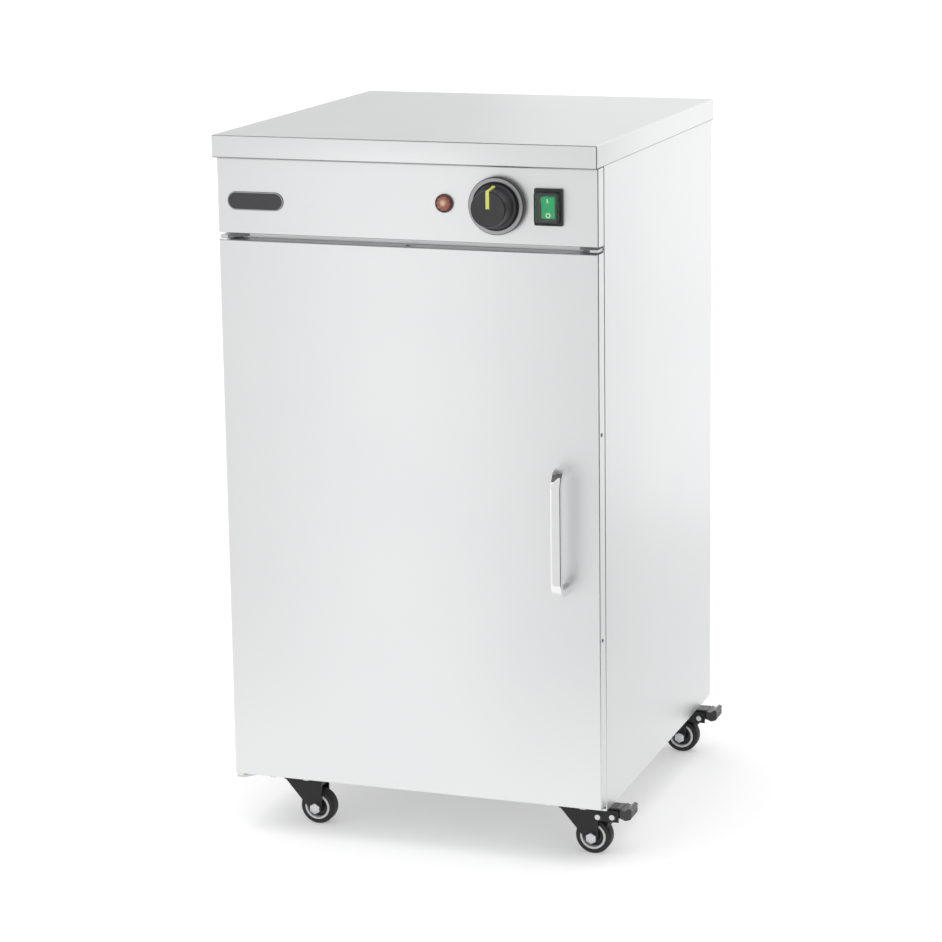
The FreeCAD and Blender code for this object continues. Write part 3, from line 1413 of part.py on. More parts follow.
# the pedal's outline from its pivot: its back, its tread, the toe over the tyre
PEDAL_BACK = [(-12.5, 1.85), (-9.5, 7.35), (-3.5, 10.55), (9, 10.65)]
PEDAL_TREAD = [(15.5, 8.05), (20, 12.75), (d.pedal_tip, 10.85), (d.pedal_tip, -0.15), (15.5, -2.85)]
PEDAL_TOE = [(9.5, 0.05), (5, -3.65), (1.5, -4.65), (-4.9, -13.95), (-7.1, -12.75), (-4, -4.15),
             (-10.5, -2.15)]
TREAD_NECK = 10.0
GROOVES = [1.85, 4.35, 6.85, 9.35]


def brake_pedal(place_name, x, y):
    """A rocking pedal between the fork's cheeks; its toe bears on the tyre when it is pressed."""
    body = new_body(place_name + "_brake_pedal")
    inner = d.fork_inside / 2 - d.running_play * 2
    add(body, "XZ", -inner, inner * 2, polygon(*PEDAL_BACK, *PEDAL_TREAD, *PEDAL_TOE))
    neck = [(TREAD_NECK, PEDAL_TOE[0][1]), (TREAD_NECK, PEDAL_BACK[-1][1])]
    add(body, "XZ", -d.pedal_half, d.pedal_half * 2, polygon(*neck, *PEDAL_TREAD))
    cut(body, "XZ", -d.pedal_half, d.pedal_half * 2, *[
        rectangle(d.pedal_tip - d.skin, groove, d.pedal_tip + d.skin, groove + d.skin)
        for groove in GROOVES])
    cut(body, "XZ", -inner, inner * 2, circle(0, 0, d.brake_rivet + d.pivot_play))
    return sub_part(body, place_name + "_brake_pedal",
                    x + d.caster_trail + pedal_x, y, axle_z + pedal_rise)


for place_name, x, y in caster_places:
    braked = place_name.endswith("right")
    caster_fork(place_name, x, y, braked)
    caster_axle(place_name, x, y)
    caster_hub(place_name, x, y)
    caster_tyre(place_name, x, y)
    if braked:
        brake_pedal(place_name, x, y)

# ---------------------------------------------------------------------------------------------------
# Check every piece and write it out
# ---------------------------------------------------------------------------------------------------
doc.recompute()
for thing in doc.Objects:
    if "Invalid" in thing.State or "Error" in thing.State:
        raise RuntimeError("%s is not computed: %s" % (thing.Label, thing.State))
os.makedirs("parts", exist_ok=True)
for piece in sub_parts:
    shape = piece.Shape
    if shape.isNull() or not shape.isValid() or not shape.Solids:
        raise RuntimeError("%s has no valid solid" % piece.Label)
    box = shape.BoundBox
    print("%-26s %2d solids %9.0f mm3  x %7.1f %7.1f  y %7.1f %7.1f  z %6.1f %6.1f" % (
        piece.Label, len(shape.Solids), shape.Volume, box.XMin, box.XMax, box.YMin, box.YMax,
        box.ZMin, box.ZMax))
    shape.exportStep("parts/%s.step" % piece.Label)
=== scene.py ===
"""Looks of a heated plate cabinet on four casters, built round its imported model.

Everything is in metres, in the model's own frame: +Z up, +Y from the door to the back, +X to the right.
Sizes that a maker would read off a drawing are written in millimetres and multiplied by MM.
"""

import math

import bmesh
import bpy
from mathutils import Matrix, Vector


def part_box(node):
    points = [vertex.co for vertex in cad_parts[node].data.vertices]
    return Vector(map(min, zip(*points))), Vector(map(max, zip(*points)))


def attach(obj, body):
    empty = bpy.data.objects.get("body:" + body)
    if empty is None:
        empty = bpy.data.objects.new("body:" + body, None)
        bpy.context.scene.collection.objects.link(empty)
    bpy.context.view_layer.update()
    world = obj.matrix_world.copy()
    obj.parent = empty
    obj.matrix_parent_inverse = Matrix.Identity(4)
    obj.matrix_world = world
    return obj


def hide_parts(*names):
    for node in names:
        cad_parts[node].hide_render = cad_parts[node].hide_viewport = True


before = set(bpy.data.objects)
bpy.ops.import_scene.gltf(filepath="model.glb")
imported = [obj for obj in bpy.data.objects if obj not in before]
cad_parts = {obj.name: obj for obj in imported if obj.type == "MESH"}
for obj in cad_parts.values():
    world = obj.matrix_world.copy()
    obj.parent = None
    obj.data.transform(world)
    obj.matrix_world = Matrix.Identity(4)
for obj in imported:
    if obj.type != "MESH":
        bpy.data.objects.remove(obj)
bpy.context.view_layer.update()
scene = bpy.context.scene
MM = 0.001

# ---------------------------------------------------------------------------------------------------
# Camera: a little above the lid and to the right of the front, with a long lens, as the photograph was
# taken. The angles are in degrees, and the shift frames the cart as the photograph does.
# ---------------------------------------------------------------------------------------------------
CAMERA_PLACE = Vector((1.1446, -3.2621, 1.2151))
CAMERA_YAW = 19.016
CAMERA_PITCH = 11.791
CAMERA_ROLL = -0.688
CAMERA_LENS = 112.9
CAMERA_SHIFT = (-0.03, -0.08)

camera_data = bpy.data.cameras.new("camera")
camera_data.sensor_width = 36.0
camera_data.lens = CAMERA_LENS
camera_data.shift_x, camera_data.shift_y = CAMERA_SHIFT
camera_data.clip_end = 200.0
camera = bpy.data.objects.new("camera", camera_data)
scene.collection.objects.link(camera)
camera.matrix_world = (
    Matrix.Translation(CAMERA_PLACE)
    @ Matrix.Rotation(math.radians(CAMERA_YAW), 4, "Z")
    @ Matrix.Rotation(math.radians(90.0 - CAMERA_PITCH), 4, "X")
    @ Matrix.Rotation(math.radians(CAMERA_ROLL), 4, "Z")
)
scene.camera = camera


# ---------------------------------------------------------------------------------------------------
# Studio: a seamless light table of opal acrylic in a white tent, with one soft light overhead. Cards that
# only reflections see stand round the cart: two dark ones draw its folds and pale ones shade its faces.
# ---------------------------------------------------------------------------------------------------
def add_node(tree, kind, settings=None, links=None):
    """Adds one node to a tree with its settings, its input values and its links."""
    node = tree.nodes.new(kind)
    for name, value in (settings or {}).items():
        if isinstance(name, str) and hasattr(node, name):
            setattr(node, name, value)
        else:
            node.inputs[name].default_value = value
    for name, socket in (links or {}).items():
        tree.links.new(socket, node.inputs[name])
    return node


def colour(hex_value):
    """An sRGB hex colour as the linear values that a shader takes."""
    parts = [int(hex_value[i:i + 2], 16) / 255.0 for i in (0, 2, 4)]
    return (*[p / 12.92 if p <= 0.04045 else ((p + 0.055) / 1.055) ** 2.4 for p in parts], 1.0)


def new_finish(name, settings):
    """A node material with its Principled shader; returns the material, its tree and the shader."""
    material = bpy.data.materials.new(name)
    material.use_nodes = True
    tree = material.node_tree
    tree.nodes.clear()
    shader = add_node(tree, "ShaderNodeBsdfPrincipled", settings)
    add_node(tree, "ShaderNodeOutputMaterial", links={"Surface": shader.outputs["BSDF"]})
    return material, tree, shader


FLOOR_HALF = 40.0

# opal acrylic lit from below is matt and even, so that only the cart's soft shadow shows on it
floor_paint = new_finish("opal_acrylic_light_table", {
    "Base Color": colour("e1e1e1"), "Roughness": 0.9, "Specular IOR Level": 0.1,
    "Emission Color": colour("ffffff"), "Emission Strength": 0.29})[0]
floor_mesh = bpy.data.meshes.new("floor")
floor_mesh.from_pydata(
    [(x * FLOOR_HALF, y * FLOOR_HALF, 0.0) for x, y in ((-1, -1), (1, -1), (1, 1), (-1, 1))],
    [], [(0, 1, 2, 3)])
floor_mesh.materials.append(floor_paint)
floor = bpy.data.objects.new("floor", floor_mesh)
scene.collection.objects.link(floor)

# the tent grows brighter from the floor up, and is a fifth dimmer round one direction, right and behind
TENT_LOW = 0.86
TENT_HIGH = 1.24
DIM_SIDE = (0.70, 0.68, 0.18)
DIM_FROM = 0.6
DIM_LEVEL = 0.8

world = bpy.data.worlds.new("white_tent")
world.use_nodes = True
tent = world.node_tree
tent.nodes.clear()
direction = add_node(tent, "ShaderNodeTexCoord").outputs["Generated"]
height = add_node(tent, "ShaderNodeSeparateXYZ", links={"Vector": direction})
rise = add_node(tent, "ShaderNodeMapRange", {"To Min": TENT_LOW, "To Max": TENT_HIGH},
                {"Value": height.outputs["Z"]})
towards_dim = add_node(tent, "ShaderNodeVectorMath", {"operation": "DOT_PRODUCT", 1: DIM_SIDE},
                       {0: direction})
dim = add_node(tent, "ShaderNodeMapRange", {
    "interpolation_type": "SMOOTHSTEP", "From Min": DIM_FROM, "To Min": 1.0, "To Max": DIM_LEVEL},
    {"Value": towards_dim.outputs["Value"]})
lit = add_node(tent, "ShaderNodeMath", {"operation": "MULTIPLY"},
               {0: rise.outputs["Result"], 1: dim.outputs["Result"]})
backdrop = add_node(tent, "ShaderNodeBackground", {"Color": colour("ffffff")}, {"Strength": lit.outputs[0]})
add_node(tent, "ShaderNodeOutputWorld", links={"Surface": backdrop.outputs["Background"]})
scene.world = world

soft_data = bpy.data.lights.new("overhead_soft_light", "AREA")
soft_data.shape = "DISK"
soft_data.size = 2.4
soft_data.energy = 17.0
soft_light = bpy.data.objects.new("overhead_soft_light", soft_data)
scene.collection.objects.link(soft_light)
soft_light.location = (0.1, -0.9, 3.2)
soft_light.rotation_euler = (Vector((0, 0, 0.3)) - soft_light.location).to_track_quat("-Z", "Y").to_euler()
soft_light.visible_glossy = False

# each card is an upright or level rectangle: its glow, its lowest corner and its highest corner
CARDS = {
    "overhead_card": (0.15, (-1.8, -2.8, 2.6), (1.2, 1.2, 2.6)),
    "right_card": (0.02, (0.75, -1.9, 0.0), (0.75, 0.45, 1.6)),
    "front_card": (0.84, (-0.05, -0.7, 0.0), (0.75, -0.7, 1.5)),
    "left_card": (0.88, (-1.4, -0.7, 0.0), (-0.36, -0.7, 1.5)),
    "side_card": (1.2, (0.1, 1.4, 0.42), (1.6, 1.4, 2.0)),
    "back_card": (0.70, (-2.4, 2.3, 1.0), (-0.75, 2.3, 1.9)),
    "side_floor_card": (0.94, (0.27, -0.3, 0.002), (1.6, 1.4, 0.002)),
    "front_floor_card": (1.07, (-1.0, -2.2, 0.002), (0.3, -0.3, 0.002)),
}
for card_name, (card_glow, card_low, card_high) in CARDS.items():
    # a card shows its glow alone: it has no colour or gloss of its own
    card_paint = new_finish(card_name + "_paint", {
        "Base Color": colour("000000"), "Specular IOR Level": 0.0, "Emission Color": colour("ffffff"),
        "Emission Strength": card_glow})[0]
    first_axis, second_axis = [axis for axis in range(3) if card_low[axis] != card_high[axis]]
    card_corners = [list(card_low), list(card_low), list(card_high), list(card_low)]
    card_corners[1][first_axis] = card_high[first_axis]
    card_corners[3][second_axis] = card_high[second_axis]
    card_mesh = bpy.data.meshes.new(card_name)
    card_mesh.from_pydata(card_corners, [], [(0, 1, 2, 3)])
    card_mesh.materials.append(card_paint)
    card = bpy.data.objects.new(card_name, card_mesh)
    scene.collection.objects.link(card)
    card.visible_camera = card.visible_diffuse = card.visible_shadow = card.visible_transmission = False

scene.view_settings.view_transform = "Standard"
scene.view_settings.look = "None"


# ---------------------------------------------------------------------------------------------------
# Outer shell: base pan, side panels, back panel, lid and front frame, folded from 1 mm stainless sheet,
# spot-welded, with a satin face. The grain runs up the panels and across the lid.
# ---------------------------------------------------------------------------------------------------
def satin_sheet(name, light, dark_shade, grain_along, roughness):
    """Stainless sheet rubbed by a fine belt, whose soft scratches stretch each reflection one way."""
    material, tree, shader = new_finish(name, {"Metallic": 1.0})
    place = add_node(tree, "ShaderNodeTexCoord").outputs["Object"]
    # real scratches are about 0.05 mm wide and 30 mm long; these are 0.6 mm wide, so that they show
    scale = [1.0 / (0.6 * MM)] * 3
    scale["XYZ".index(grain_along)] = 1.0 / (45 * MM)
    along = add_node(tree, "ShaderNodeMapping", {"Scale": scale}, {"Vector": place})
    grain = add_node(tree, "ShaderNodeTexNoise", {"Scale": 1.0, "Detail": 3.0, "Roughness": 0.6},
                     {"Vector": along.outputs["Vector"]})
    # rolled sheet shades a little over a hand's width
    cloud = add_node(tree, "ShaderNodeTexNoise", {"Scale": 1.0 / (160 * MM), "Detail": 1.0},
                     {"Vector": place})
    tint = add_node(tree, "ShaderNodeMix", {"data_type": "RGBA", 6: colour(dark_shade), 7: colour(light)},
                    {0: cloud.outputs["Fac"]})
    rough = add_node(tree, "ShaderNodeMapRange", {
        "From Min": 0.3, "From Max": 0.7, "To Min": roughness - 0.02, "To Max": roughness + 0.02},
        {"Value": grain.outputs["Fac"]})
    relief = add_node(tree, "ShaderNodeBump", {"Strength": 0.25, "Distance": 0.002 * MM},
                      {"Height": grain.outputs["Fac"]})
    tree.links.new(tint.outputs[2], shader.inputs["Base Color"])
    tree.links.new(rough.outputs["Result"], shader.inputs["Roughness"])
    tree.links.new(relief.outputs["Normal"], shader.inputs["Normal"])
    return material


def clouded_metal(name, shades, gloss, cloud_mm, detail=2.0):
    """Bare metal whose shade and gloss drift between two values; where one is given, it stays even."""
    material, tree, shader = new_finish(name, {"Metallic": 1.0})
    place = add_node(tree, "ShaderNodeTexCoord").outputs["Object"]
    cloud = add_node(tree, "ShaderNodeTexNoise", {"Scale": 1.0 / (cloud_mm * MM), "Detail": detail},
                     {"Vector": place}).outputs["Fac"]
    shader.inputs["Base Color"].default_value = colour(shades[0])
    shader.inputs["Roughness"].default_value = gloss[0]
    if len(shades) == 2:
        tint = add_node(tree, "ShaderNodeMix", {
            "data_type": "RGBA", 6: colour(shades[0]), 7: colour(shades[1])}, {0: cloud})
        tree.links.new(tint.outputs[2], shader.inputs["Base Color"])
    if len(gloss) == 2:
        rough = add_node(tree, "ShaderNodeMapRange", {"To Min": gloss[0], "To Max": gloss[1]},
                         {"Value": cloud})
        tree.links.new(rough.outputs["Result"], shader.inputs["Roughness"])
    return material


def dress(material, *nodes):
    """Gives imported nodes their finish."""
    for node in nodes:
        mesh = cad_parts[node].data
        mesh.materials.clear()
        mesh.materials.append(material)


# outside, the belt's grain gives a satin sheen; sheet left as it came from the mill is greyer
upright_satin = satin_sheet("stainless_sheet_satin_upright_grain", "e6e7e7", "e2e3e4", "Z", 0.36)
level_satin = satin_sheet("stainless_sheet_satin_level_grain", "e6e7e7", "e2e3e4", "X", 0.36)
mill_sheet = satin_sheet("stainless_sheet_mill_finish", "d9dada", "cfd0d1", "Y", 0.36)

dress(upright_satin, "left_side_panel", "right_side_panel", "back_panel", "front_frame")
dress(mill_sheet, "base_pan")

# the lid's skirt ends in a flattened hem; its fold is a little duller, and coloured dark grey as painted
# shade for the shadow line under the lid's edge
hem_shade_paint = clouded_metal("stainless_sheet_hem_painted_shade", ("808183", "9a9b9d"), (0.45,), 2)


def eased(corners, closed=False, steps=5):
    """A profile whose corners are rounded where a third number gives the radius."""
    count = len(corners)
    line = []
    for index, corner in enumerate(corners):
        point = Vector(corner[:2])
        ends = not closed and index in (0, count - 1)
        radius = corner[2] if len(corner) > 2 else 0.0
        if ends or radius == 0.0:
            line.append(point)
            continue
        back = (Vector(corners[index - 1][:2]) - point).normalized()
        on = (Vector(corners[(index + 1) % count][:2]) - point).normalized()
        half_angle = back.angle(on) / 2
        run = radius / math.tan(half_angle)
        hub = point + (back + on).normalized() * (radius / math.sin(half_angle))
        start = point + back * run - hub
        sweep = math.atan2(start.cross(on * run + point - hub), start.dot(on * run + point - hub))
        for part in range(steps + 1):
            turn = sweep * part / steps
            line.append(hub + Vector((start.x * math.cos(turn) - start.y * math.sin(turn),
                                      start.x * math.sin(turn) + start.y * math.cos(turn))))
    return line


def plain_piece(name, solid, material, smooth_angle=35.0):
    """Makes an object of a closed bmesh whose faces point outwards."""
    bmesh.ops.recalc_face_normals(solid, faces=solid.faces)
    mesh = bpy.data.meshes.new(name)
    solid.to_mesh(mesh)
    solid.free()
    mesh.polygons.foreach_set("use_smooth", [True] * len(mesh.polygons))
    mesh.set_sharp_from_angle(angle=math.radians(smooth_angle))
    mesh.materials.append(material)
    piece = bpy.data.objects.new(name, mesh)
    scene.collection.objects.link(piece)
    return piece


def skin(solid, one, other):
    """The faces between two rings of as many vertices."""
    count = len(one)
    return [solid.faces.new((one[i], one[(i + 1) % count], other[(i + 1) % count], other[i]))
            for i in range(count)]


LID_CORNER = 1.6
LID_HEM = 1.1
SKIRT_INSIDE = 2.0
FLANGE_DEPTH = 18.0
FLANGE_RISE = 1.6
SHEET = 1.0
lid_low, lid_high = [Vector(corner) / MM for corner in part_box("lid")]
hem_level = lid_low.z - lid_high.z + 0.5
# the sheet's line, as an inset from the lid's outline and a drop from its top: over the edge, down the
# skirt, round the hem, and back up inside
lid_section = eased([
    (5.0, 0), (0, 0, 1.6), (0, hem_level, LID_HEM - 0.05), (2 * LID_HEM, hem_level, LID_HEM - 0.05),
    (2 * LID_HEM, hem_level + 9), (1.1, hem_level + 9), (1.1, -1.0, 0.6), (5.0, -1.0)])
lid_solid = bmesh.new()
lid_rings = []
for inset, drop in lid_section:
    radius = max(LID_CORNER - inset, 0.3)
    ring = []
    for x, y, first_angle in ((lid_high.x - inset - radius, lid_high.y - inset - radius, 0),
                              (lid_low.x + inset + radius, lid_high.y - inset - radius, 90),
                              (lid_low.x + inset + radius, lid_low.y + inset + radius, 180),
                              (lid_high.x - inset - radius, lid_low.y + inset + radius, 270)):
        for part in range(7):
            angle = math.radians(first_angle + 15 * part)
            ring.append(lid_solid.verts.new(Vector((
                x + radius * math.cos(angle), y + radius * math.sin(angle), lid_high.z + drop)) * MM))
    lid_rings.append(ring)
lid_solid.faces.new(lid_rings[0])
lid_solid.faces.new(lid_rings[-1])
for (inset, drop), one, other in zip(lid_section, lid_rings, lid_rings[1:]):
    # the hem's lowest band takes the dark grey: painted shade for the shadow line under the lid's edge
    in_painted_shade_band = drop < hem_level + 1.3 and inset < LID_HEM
    for face in skin(lid_solid, one, other):
        face.material_index = 1 if in_painted_shade_band else 0
# a flange folded in along the front skirt lies on the fascia's top
flange = bmesh.ops.create_cube(lid_solid, size=1.0)["verts"]
bmesh.ops.scale(lid_solid, verts=flange, vec=(
    lid_high.x * MM - lid_low.x * MM - 2 * SKIRT_INSIDE * MM, FLANGE_DEPTH * MM, SHEET * MM))
flange_middle = Vector((
    (lid_low.x + lid_high.x) / 2, lid_low.y + SKIRT_INSIDE + FLANGE_DEPTH / 2, lid_low.z + FLANGE_RISE))
bmesh.ops.translate(lid_solid, verts=flange, vec=flange_middle * MM)
folded_lid = plain_piece("lid_folded_and_hemmed", lid_solid, level_satin)
folded_lid.data.materials.append(hem_shade_paint)
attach(folded_lid, "cabinet")
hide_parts("lid")


# ---------------------------------------------------------------------------------------------------
# Heated chamber: liners, ceiling and slotted floor of mill-finish sheet, with the tubular heater under
# the floor. The heater's sheath has turned blue-brown with heat.
# ---------------------------------------------------------------------------------------------------
dress(mill_sheet, "left_liner", "right_liner", "rear_liner", "chamber_ceiling", "chamber_floor",
      "shelf_runners")

# the oxide that heat leaves is dull, and its brown and blue-grey come in patches as wide as a finger
heater_sheath = clouded_metal("heat_tinted_alloy_sheath", ("4a4038", "6f6f74"), (0.38, 0.6), 35, 4.0)
dress(heater_sheath, "heating_element")


# ---------------------------------------------------------------------------------------------------
# Wire shelves: a bent rod frame, a stretcher under the middle and straight wires from front to back,
# resistance-welded where they cross and plated bright.
# ---------------------------------------------------------------------------------------------------
def new_tree(name, inputs):
    """A Geometry Nodes tree with a geometry input and output and named number inputs."""
    tree = bpy.data.node_groups.new(name, "GeometryNodeTree")
    tree.interface.new_socket("Geometry", in_out="INPUT", socket_type="NodeSocketGeometry")
    tree.interface.new_socket("Geometry", in_out="OUTPUT", socket_type="NodeSocketGeometry")
    for label, kind in inputs:
        tree.interface.new_socket(label, in_out="INPUT", socket_type="NodeSocket" + kind)
    return tree, tree.nodes.new("NodeGroupInput").outputs


def finish_tree(tree, geometry, material, smooth_angle=35.0):
    """Ends a tree: realised, its edges sharp past an angle, with its material."""
    solid = add_node(tree, "GeometryNodeRealizeInstances", links={"Geometry": geometry})
    turn = add_node(tree, "GeometryNodeInputMeshEdgeAngle")
    soft = add_node(tree, "FunctionNodeCompare", {"data_type": "FLOAT", "operation": "LESS_THAN",
                                                 1: math.radians(smooth_angle)},
                    {0: turn.outputs["Unsigned Angle"]})
    edges = add_node(tree, "GeometryNodeSetShadeSmooth", {"domain": "EDGE"},
                     {"Geometry": solid.outputs["Geometry"], "Shade Smooth": soft.outputs["Result"]})
    painted = add_node(tree, "GeometryNodeSetMaterial", {"Material": material},
                       {"Geometry": edges.outputs["Geometry"]})
    tree.links.new(painted.outputs["Geometry"], tree.nodes.new("NodeGroupOutput").inputs["Geometry"])


def grow(name, tree, values, points, facings=()):
    """Runs a tree on points, with the way that each faces, and keeps the plain mesh that it makes."""
    seeds = bpy.data.meshes.new(name + "_points")
    seeds.from_pydata([tuple(p) for p in points], [], [])
    if facings:
        way = seeds.attributes.new("facing", "FLOAT_VECTOR", "POINT")
        for entry, facing in zip(way.data, facings):
            entry.vector = facing
    piece = bpy.data.objects.new(name, seeds)
    scene.collection.objects.link(piece)
    modifier = piece.modifiers.new("shape", "NODES")
    modifier.node_group = tree
    sockets = {s.name: s.identifier for s in tree.interface.items_tree if s.in_out == "INPUT"}
    for label, value in values.items():
        modifier[sockets[label]] = value
    grown = piece.evaluated_get(bpy.context.evaluated_depsgraph_get())
    mesh = bpy.data.meshes.new_from_object(grown)
    piece.modifiers.remove(modifier)
    piece.data = mesh
    mesh.name = name
    return piece


# plated wire keeps the drawing die's smoothness, so it is bright, with a haze that comes and goes
bright_wire = clouded_metal("bright_plated_drawn_wire", ("d6d8da",), (0.14, 0.26), 8, 3.0)

ROD = 3.0 * MM
WIRE = 1.6 * MM
WIRE_PITCH = 25.0 * MM
SHELF_CORNER = 14.0 * MM
WELD = 0.5 * MM


def straight_rod(tree, axis, length, profile):
    """Draws a rod along one axis, with its middle at the origin."""
    ends = {}
    for end, half in (("Start", -0.5), ("End", 0.5)):
        reach = add_node(tree, "ShaderNodeMath", {"operation": "MULTIPLY", 1: half}, {0: length})
        ends[end] = add_node(tree, "ShaderNodeCombineXYZ", links={axis: reach.outputs[0]}).outputs[0]
    line = add_node(tree, "GeometryNodeCurvePrimitiveLine", links=ends)
    return add_node(tree, "GeometryNodeCurveToMesh", {"Fill Caps": True}, {
        "Curve": line.outputs["Curve"], "Profile Curve": profile}).outputs["Mesh"]


shelf_tree, shelf_in = new_tree("welded_wire_shelf", [
    ("Width", "Float"), ("Depth", "Float"), ("Rod radius", "Float"), ("Wire radius", "Float"),
    ("Wire count", "Int"), ("Wire pitch", "Float"), ("Corner", "Float"), ("Wire rise", "Float")])
hoop = add_node(shelf_tree, "GeometryNodeCurvePrimitiveQuadrilateral", links={
    "Width": shelf_in["Width"], "Height": shelf_in["Depth"]})
bent = add_node(shelf_tree, "GeometryNodeFilletCurve", {"mode": "POLY", "Count": 8},
                {"Curve": hoop.outputs["Curve"], "Radius": shelf_in["Corner"]})
rod_round = add_node(shelf_tree, "GeometryNodeCurvePrimitiveCircle", {"Resolution": 20},
                     {"Radius": shelf_in["Rod radius"]})
hoop_mesh = add_node(shelf_tree, "GeometryNodeCurveToMesh", {"Fill Caps": True}, {
    "Curve": bent.outputs["Curve"], "Profile Curve": rod_round.outputs["Curve"]})
stay_mesh = straight_rod(shelf_tree, "X", shelf_in["Width"], rod_round.outputs["Curve"])
wire_round = add_node(shelf_tree, "GeometryNodeCurvePrimitiveCircle", {"Resolution": 14},
                      {"Radius": shelf_in["Wire radius"]})
wire_mesh = straight_rod(shelf_tree, "Y", shelf_in["Depth"], wire_round.outputs["Curve"])
gaps = add_node(shelf_tree, "ShaderNodeMath", {"operation": "SUBTRACT", 1: 1.0},
                {0: shelf_in["Wire count"]})
span = add_node(shelf_tree, "ShaderNodeMath", {"operation": "MULTIPLY"},
                {0: gaps.outputs[0], 1: shelf_in["Wire pitch"]})
first_x = add_node(shelf_tree, "ShaderNodeMath", {"operation": "MULTIPLY", 1: -0.5}, {0: span.outputs[0]})
first = add_node(shelf_tree, "ShaderNodeCombineXYZ", links={
    "X": first_x.outputs[0], "Z": shelf_in["Wire rise"]})
pitch = add_node(shelf_tree, "ShaderNodeCombineXYZ", links={"X": shelf_in["Wire pitch"]})
row = add_node(shelf_tree, "GeometryNodeMeshLine", links={
    "Count": shelf_in["Wire count"], "Start Location": first.outputs[0], "Offset": pitch.outputs[0]})
wires = add_node(shelf_tree, "GeometryNodeInstanceOnPoints", links={
    "Points": row.outputs["Mesh"], "Instance": wire_mesh})
shelf_parts = add_node(shelf_tree, "GeometryNodeJoinGeometry")
for part in (hoop_mesh.outputs["Mesh"], stay_mesh, wires.outputs["Instances"]):
    shelf_tree.links.new(part, shelf_parts.inputs["Geometry"])
shelf_sites = add_node(shelf_tree, "GeometryNodeInstanceOnPoints", links={
    "Points": shelf_in["Geometry"], "Instance": shelf_parts.outputs["Geometry"]})
finish_tree(shelf_tree, shelf_sites.outputs["Instances"], bright_wire, smooth_angle=50.0)

for shelf in ("lower_shelf", "upper_shelf"):
    low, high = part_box(shelf)
    width = high[0] - low[0] - 2 * ROD
    depth = high[1] - low[1] - 2 * ROD
    centre = Vector(((low[0] + high[0]) / 2, (low[1] + high[1]) / 2, low[2] + ROD))
    wire_shelf = grow(shelf + "_wires", shelf_tree, {
        "Width": width, "Depth": depth, "Rod radius": ROD, "Wire radius": WIRE,
        "Wire count": int((width - SHELF_CORNER) // WIRE_PITCH), "Wire pitch": WIRE_PITCH,
        "Corner": SHELF_CORNER, "Wire rise": ROD + WIRE - WELD}, [centre])
    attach(wire_shelf, "cabinet")
    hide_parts(shelf)


# ---------------------------------------------------------------------------------------------------
# Control fascia: one more folded satin sheet, with a dark pill-shaped plate left bare at its left.
# The plate is cut aluminium, stoved dark on its face, with its bevel left bare.
# ---------------------------------------------------------------------------------------------------
def moulded(name, light, dark_shade, roughness, grain_mm, relief_mm, settings=None):
    """Plastic from a mould, or paint: a fine even grain and a slight change of shade and gloss.

    A mould's grain is about 0.05 mm; it is drawn as wide as grain_mm, so that it shows.
    """
    material, tree, shader = new_finish(name, settings)
    place = add_node(tree, "ShaderNodeTexCoord").outputs["Object"]
    grain = add_node(tree, "ShaderNodeTexNoise", {"Scale": 1.0 / (grain_mm * MM), "Detail": 2.0},
                     {"Vector": place})
    cloud = add_node(tree, "ShaderNodeTexNoise", {"Scale": 1.0 / (12 * MM), "Detail": 2.0},
                     {"Vector": place})
    tint = add_node(tree, "ShaderNodeMix", {"data_type": "RGBA", 6: colour(dark_shade), 7: colour(light)},
                    {0: cloud.outputs["Fac"]})
    rough = add_node(tree, "ShaderNodeMapRange", {"To Min": roughness - 0.05, "To Max": roughness + 0.05},
                     {"Value": cloud.outputs["Fac"]})
    relief = add_node(tree, "ShaderNodeBump", {"Strength": 0.5, "Distance": relief_mm * MM},
                      {"Height": grain.outputs["Fac"]})
    tree.links.new(tint.outputs[2], shader.inputs["Base Color"])
    tree.links.new(rough.outputs["Result"], shader.inputs["Roughness"])
    tree.links.new(relief.outputs["Normal"], shader.inputs["Normal"])
    return material


dress(level_satin, "control_fascia")
# stoved enamel is hard and flows out smooth, so the plate shines softly; its cut bevel is a pale thread
badge_enamel = moulded("stoved_dark_enamel_plate", "2e2e31", "28282b", 0.3, 0.5, 0.01, {"Coat Weight": 0.3})
cut_aluminium = clouded_metal("cut_aluminium_edge", ("8d8e90", "b4b5b7"), (0.25, 0.4), 0.8)

badge_low, badge_high = [Vector(corner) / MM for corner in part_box("badge_plate")]
badge_half_height = (badge_high.z - badge_low.z) / 2
badge_middle_z = (badge_high.z + badge_low.z) / 2
# from the fascia forward: the plate's edge, its outer bevel, the bare bevel, and the sunk face
BADGE_SECTION = ((0.0, 0.0), (0.0, 0.9), (0.25, 1.2), (1.3, 1.5), (1.6, 1.3))
BARE_BEVEL = 2
badge_solid = bmesh.new()
badge_rings = []
for inset, forward in BADGE_SECTION:
    radius = badge_half_height - inset
    ring = []
    for middle_x, first_angle in ((badge_high.x - badge_half_height, -90),
                                  (badge_low.x + badge_half_height, 90)):
        for part in range(25):
            angle = math.radians(first_angle + 7.5 * part)
            ring.append(badge_solid.verts.new(Vector((
                middle_x + radius * math.cos(angle), badge_high.y - forward,
                badge_middle_z + radius * math.sin(angle))) * MM))
    badge_rings.append(ring)
badge_solid.faces.new(badge_rings[0])
badge_solid.faces.new(badge_rings[-1])
for level, (one, other) in enumerate(zip(badge_rings, badge_rings[1:])):
    for face in skin(badge_solid, one, other):
        face.material_index = 1 if level == BARE_BEVEL else 0
badge = plain_piece("badge_plate_bevelled", badge_solid, badge_enamel, 15.0)
badge.data.materials.append(cut_aluminium)
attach(badge, "cabinet")
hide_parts("badge_plate")


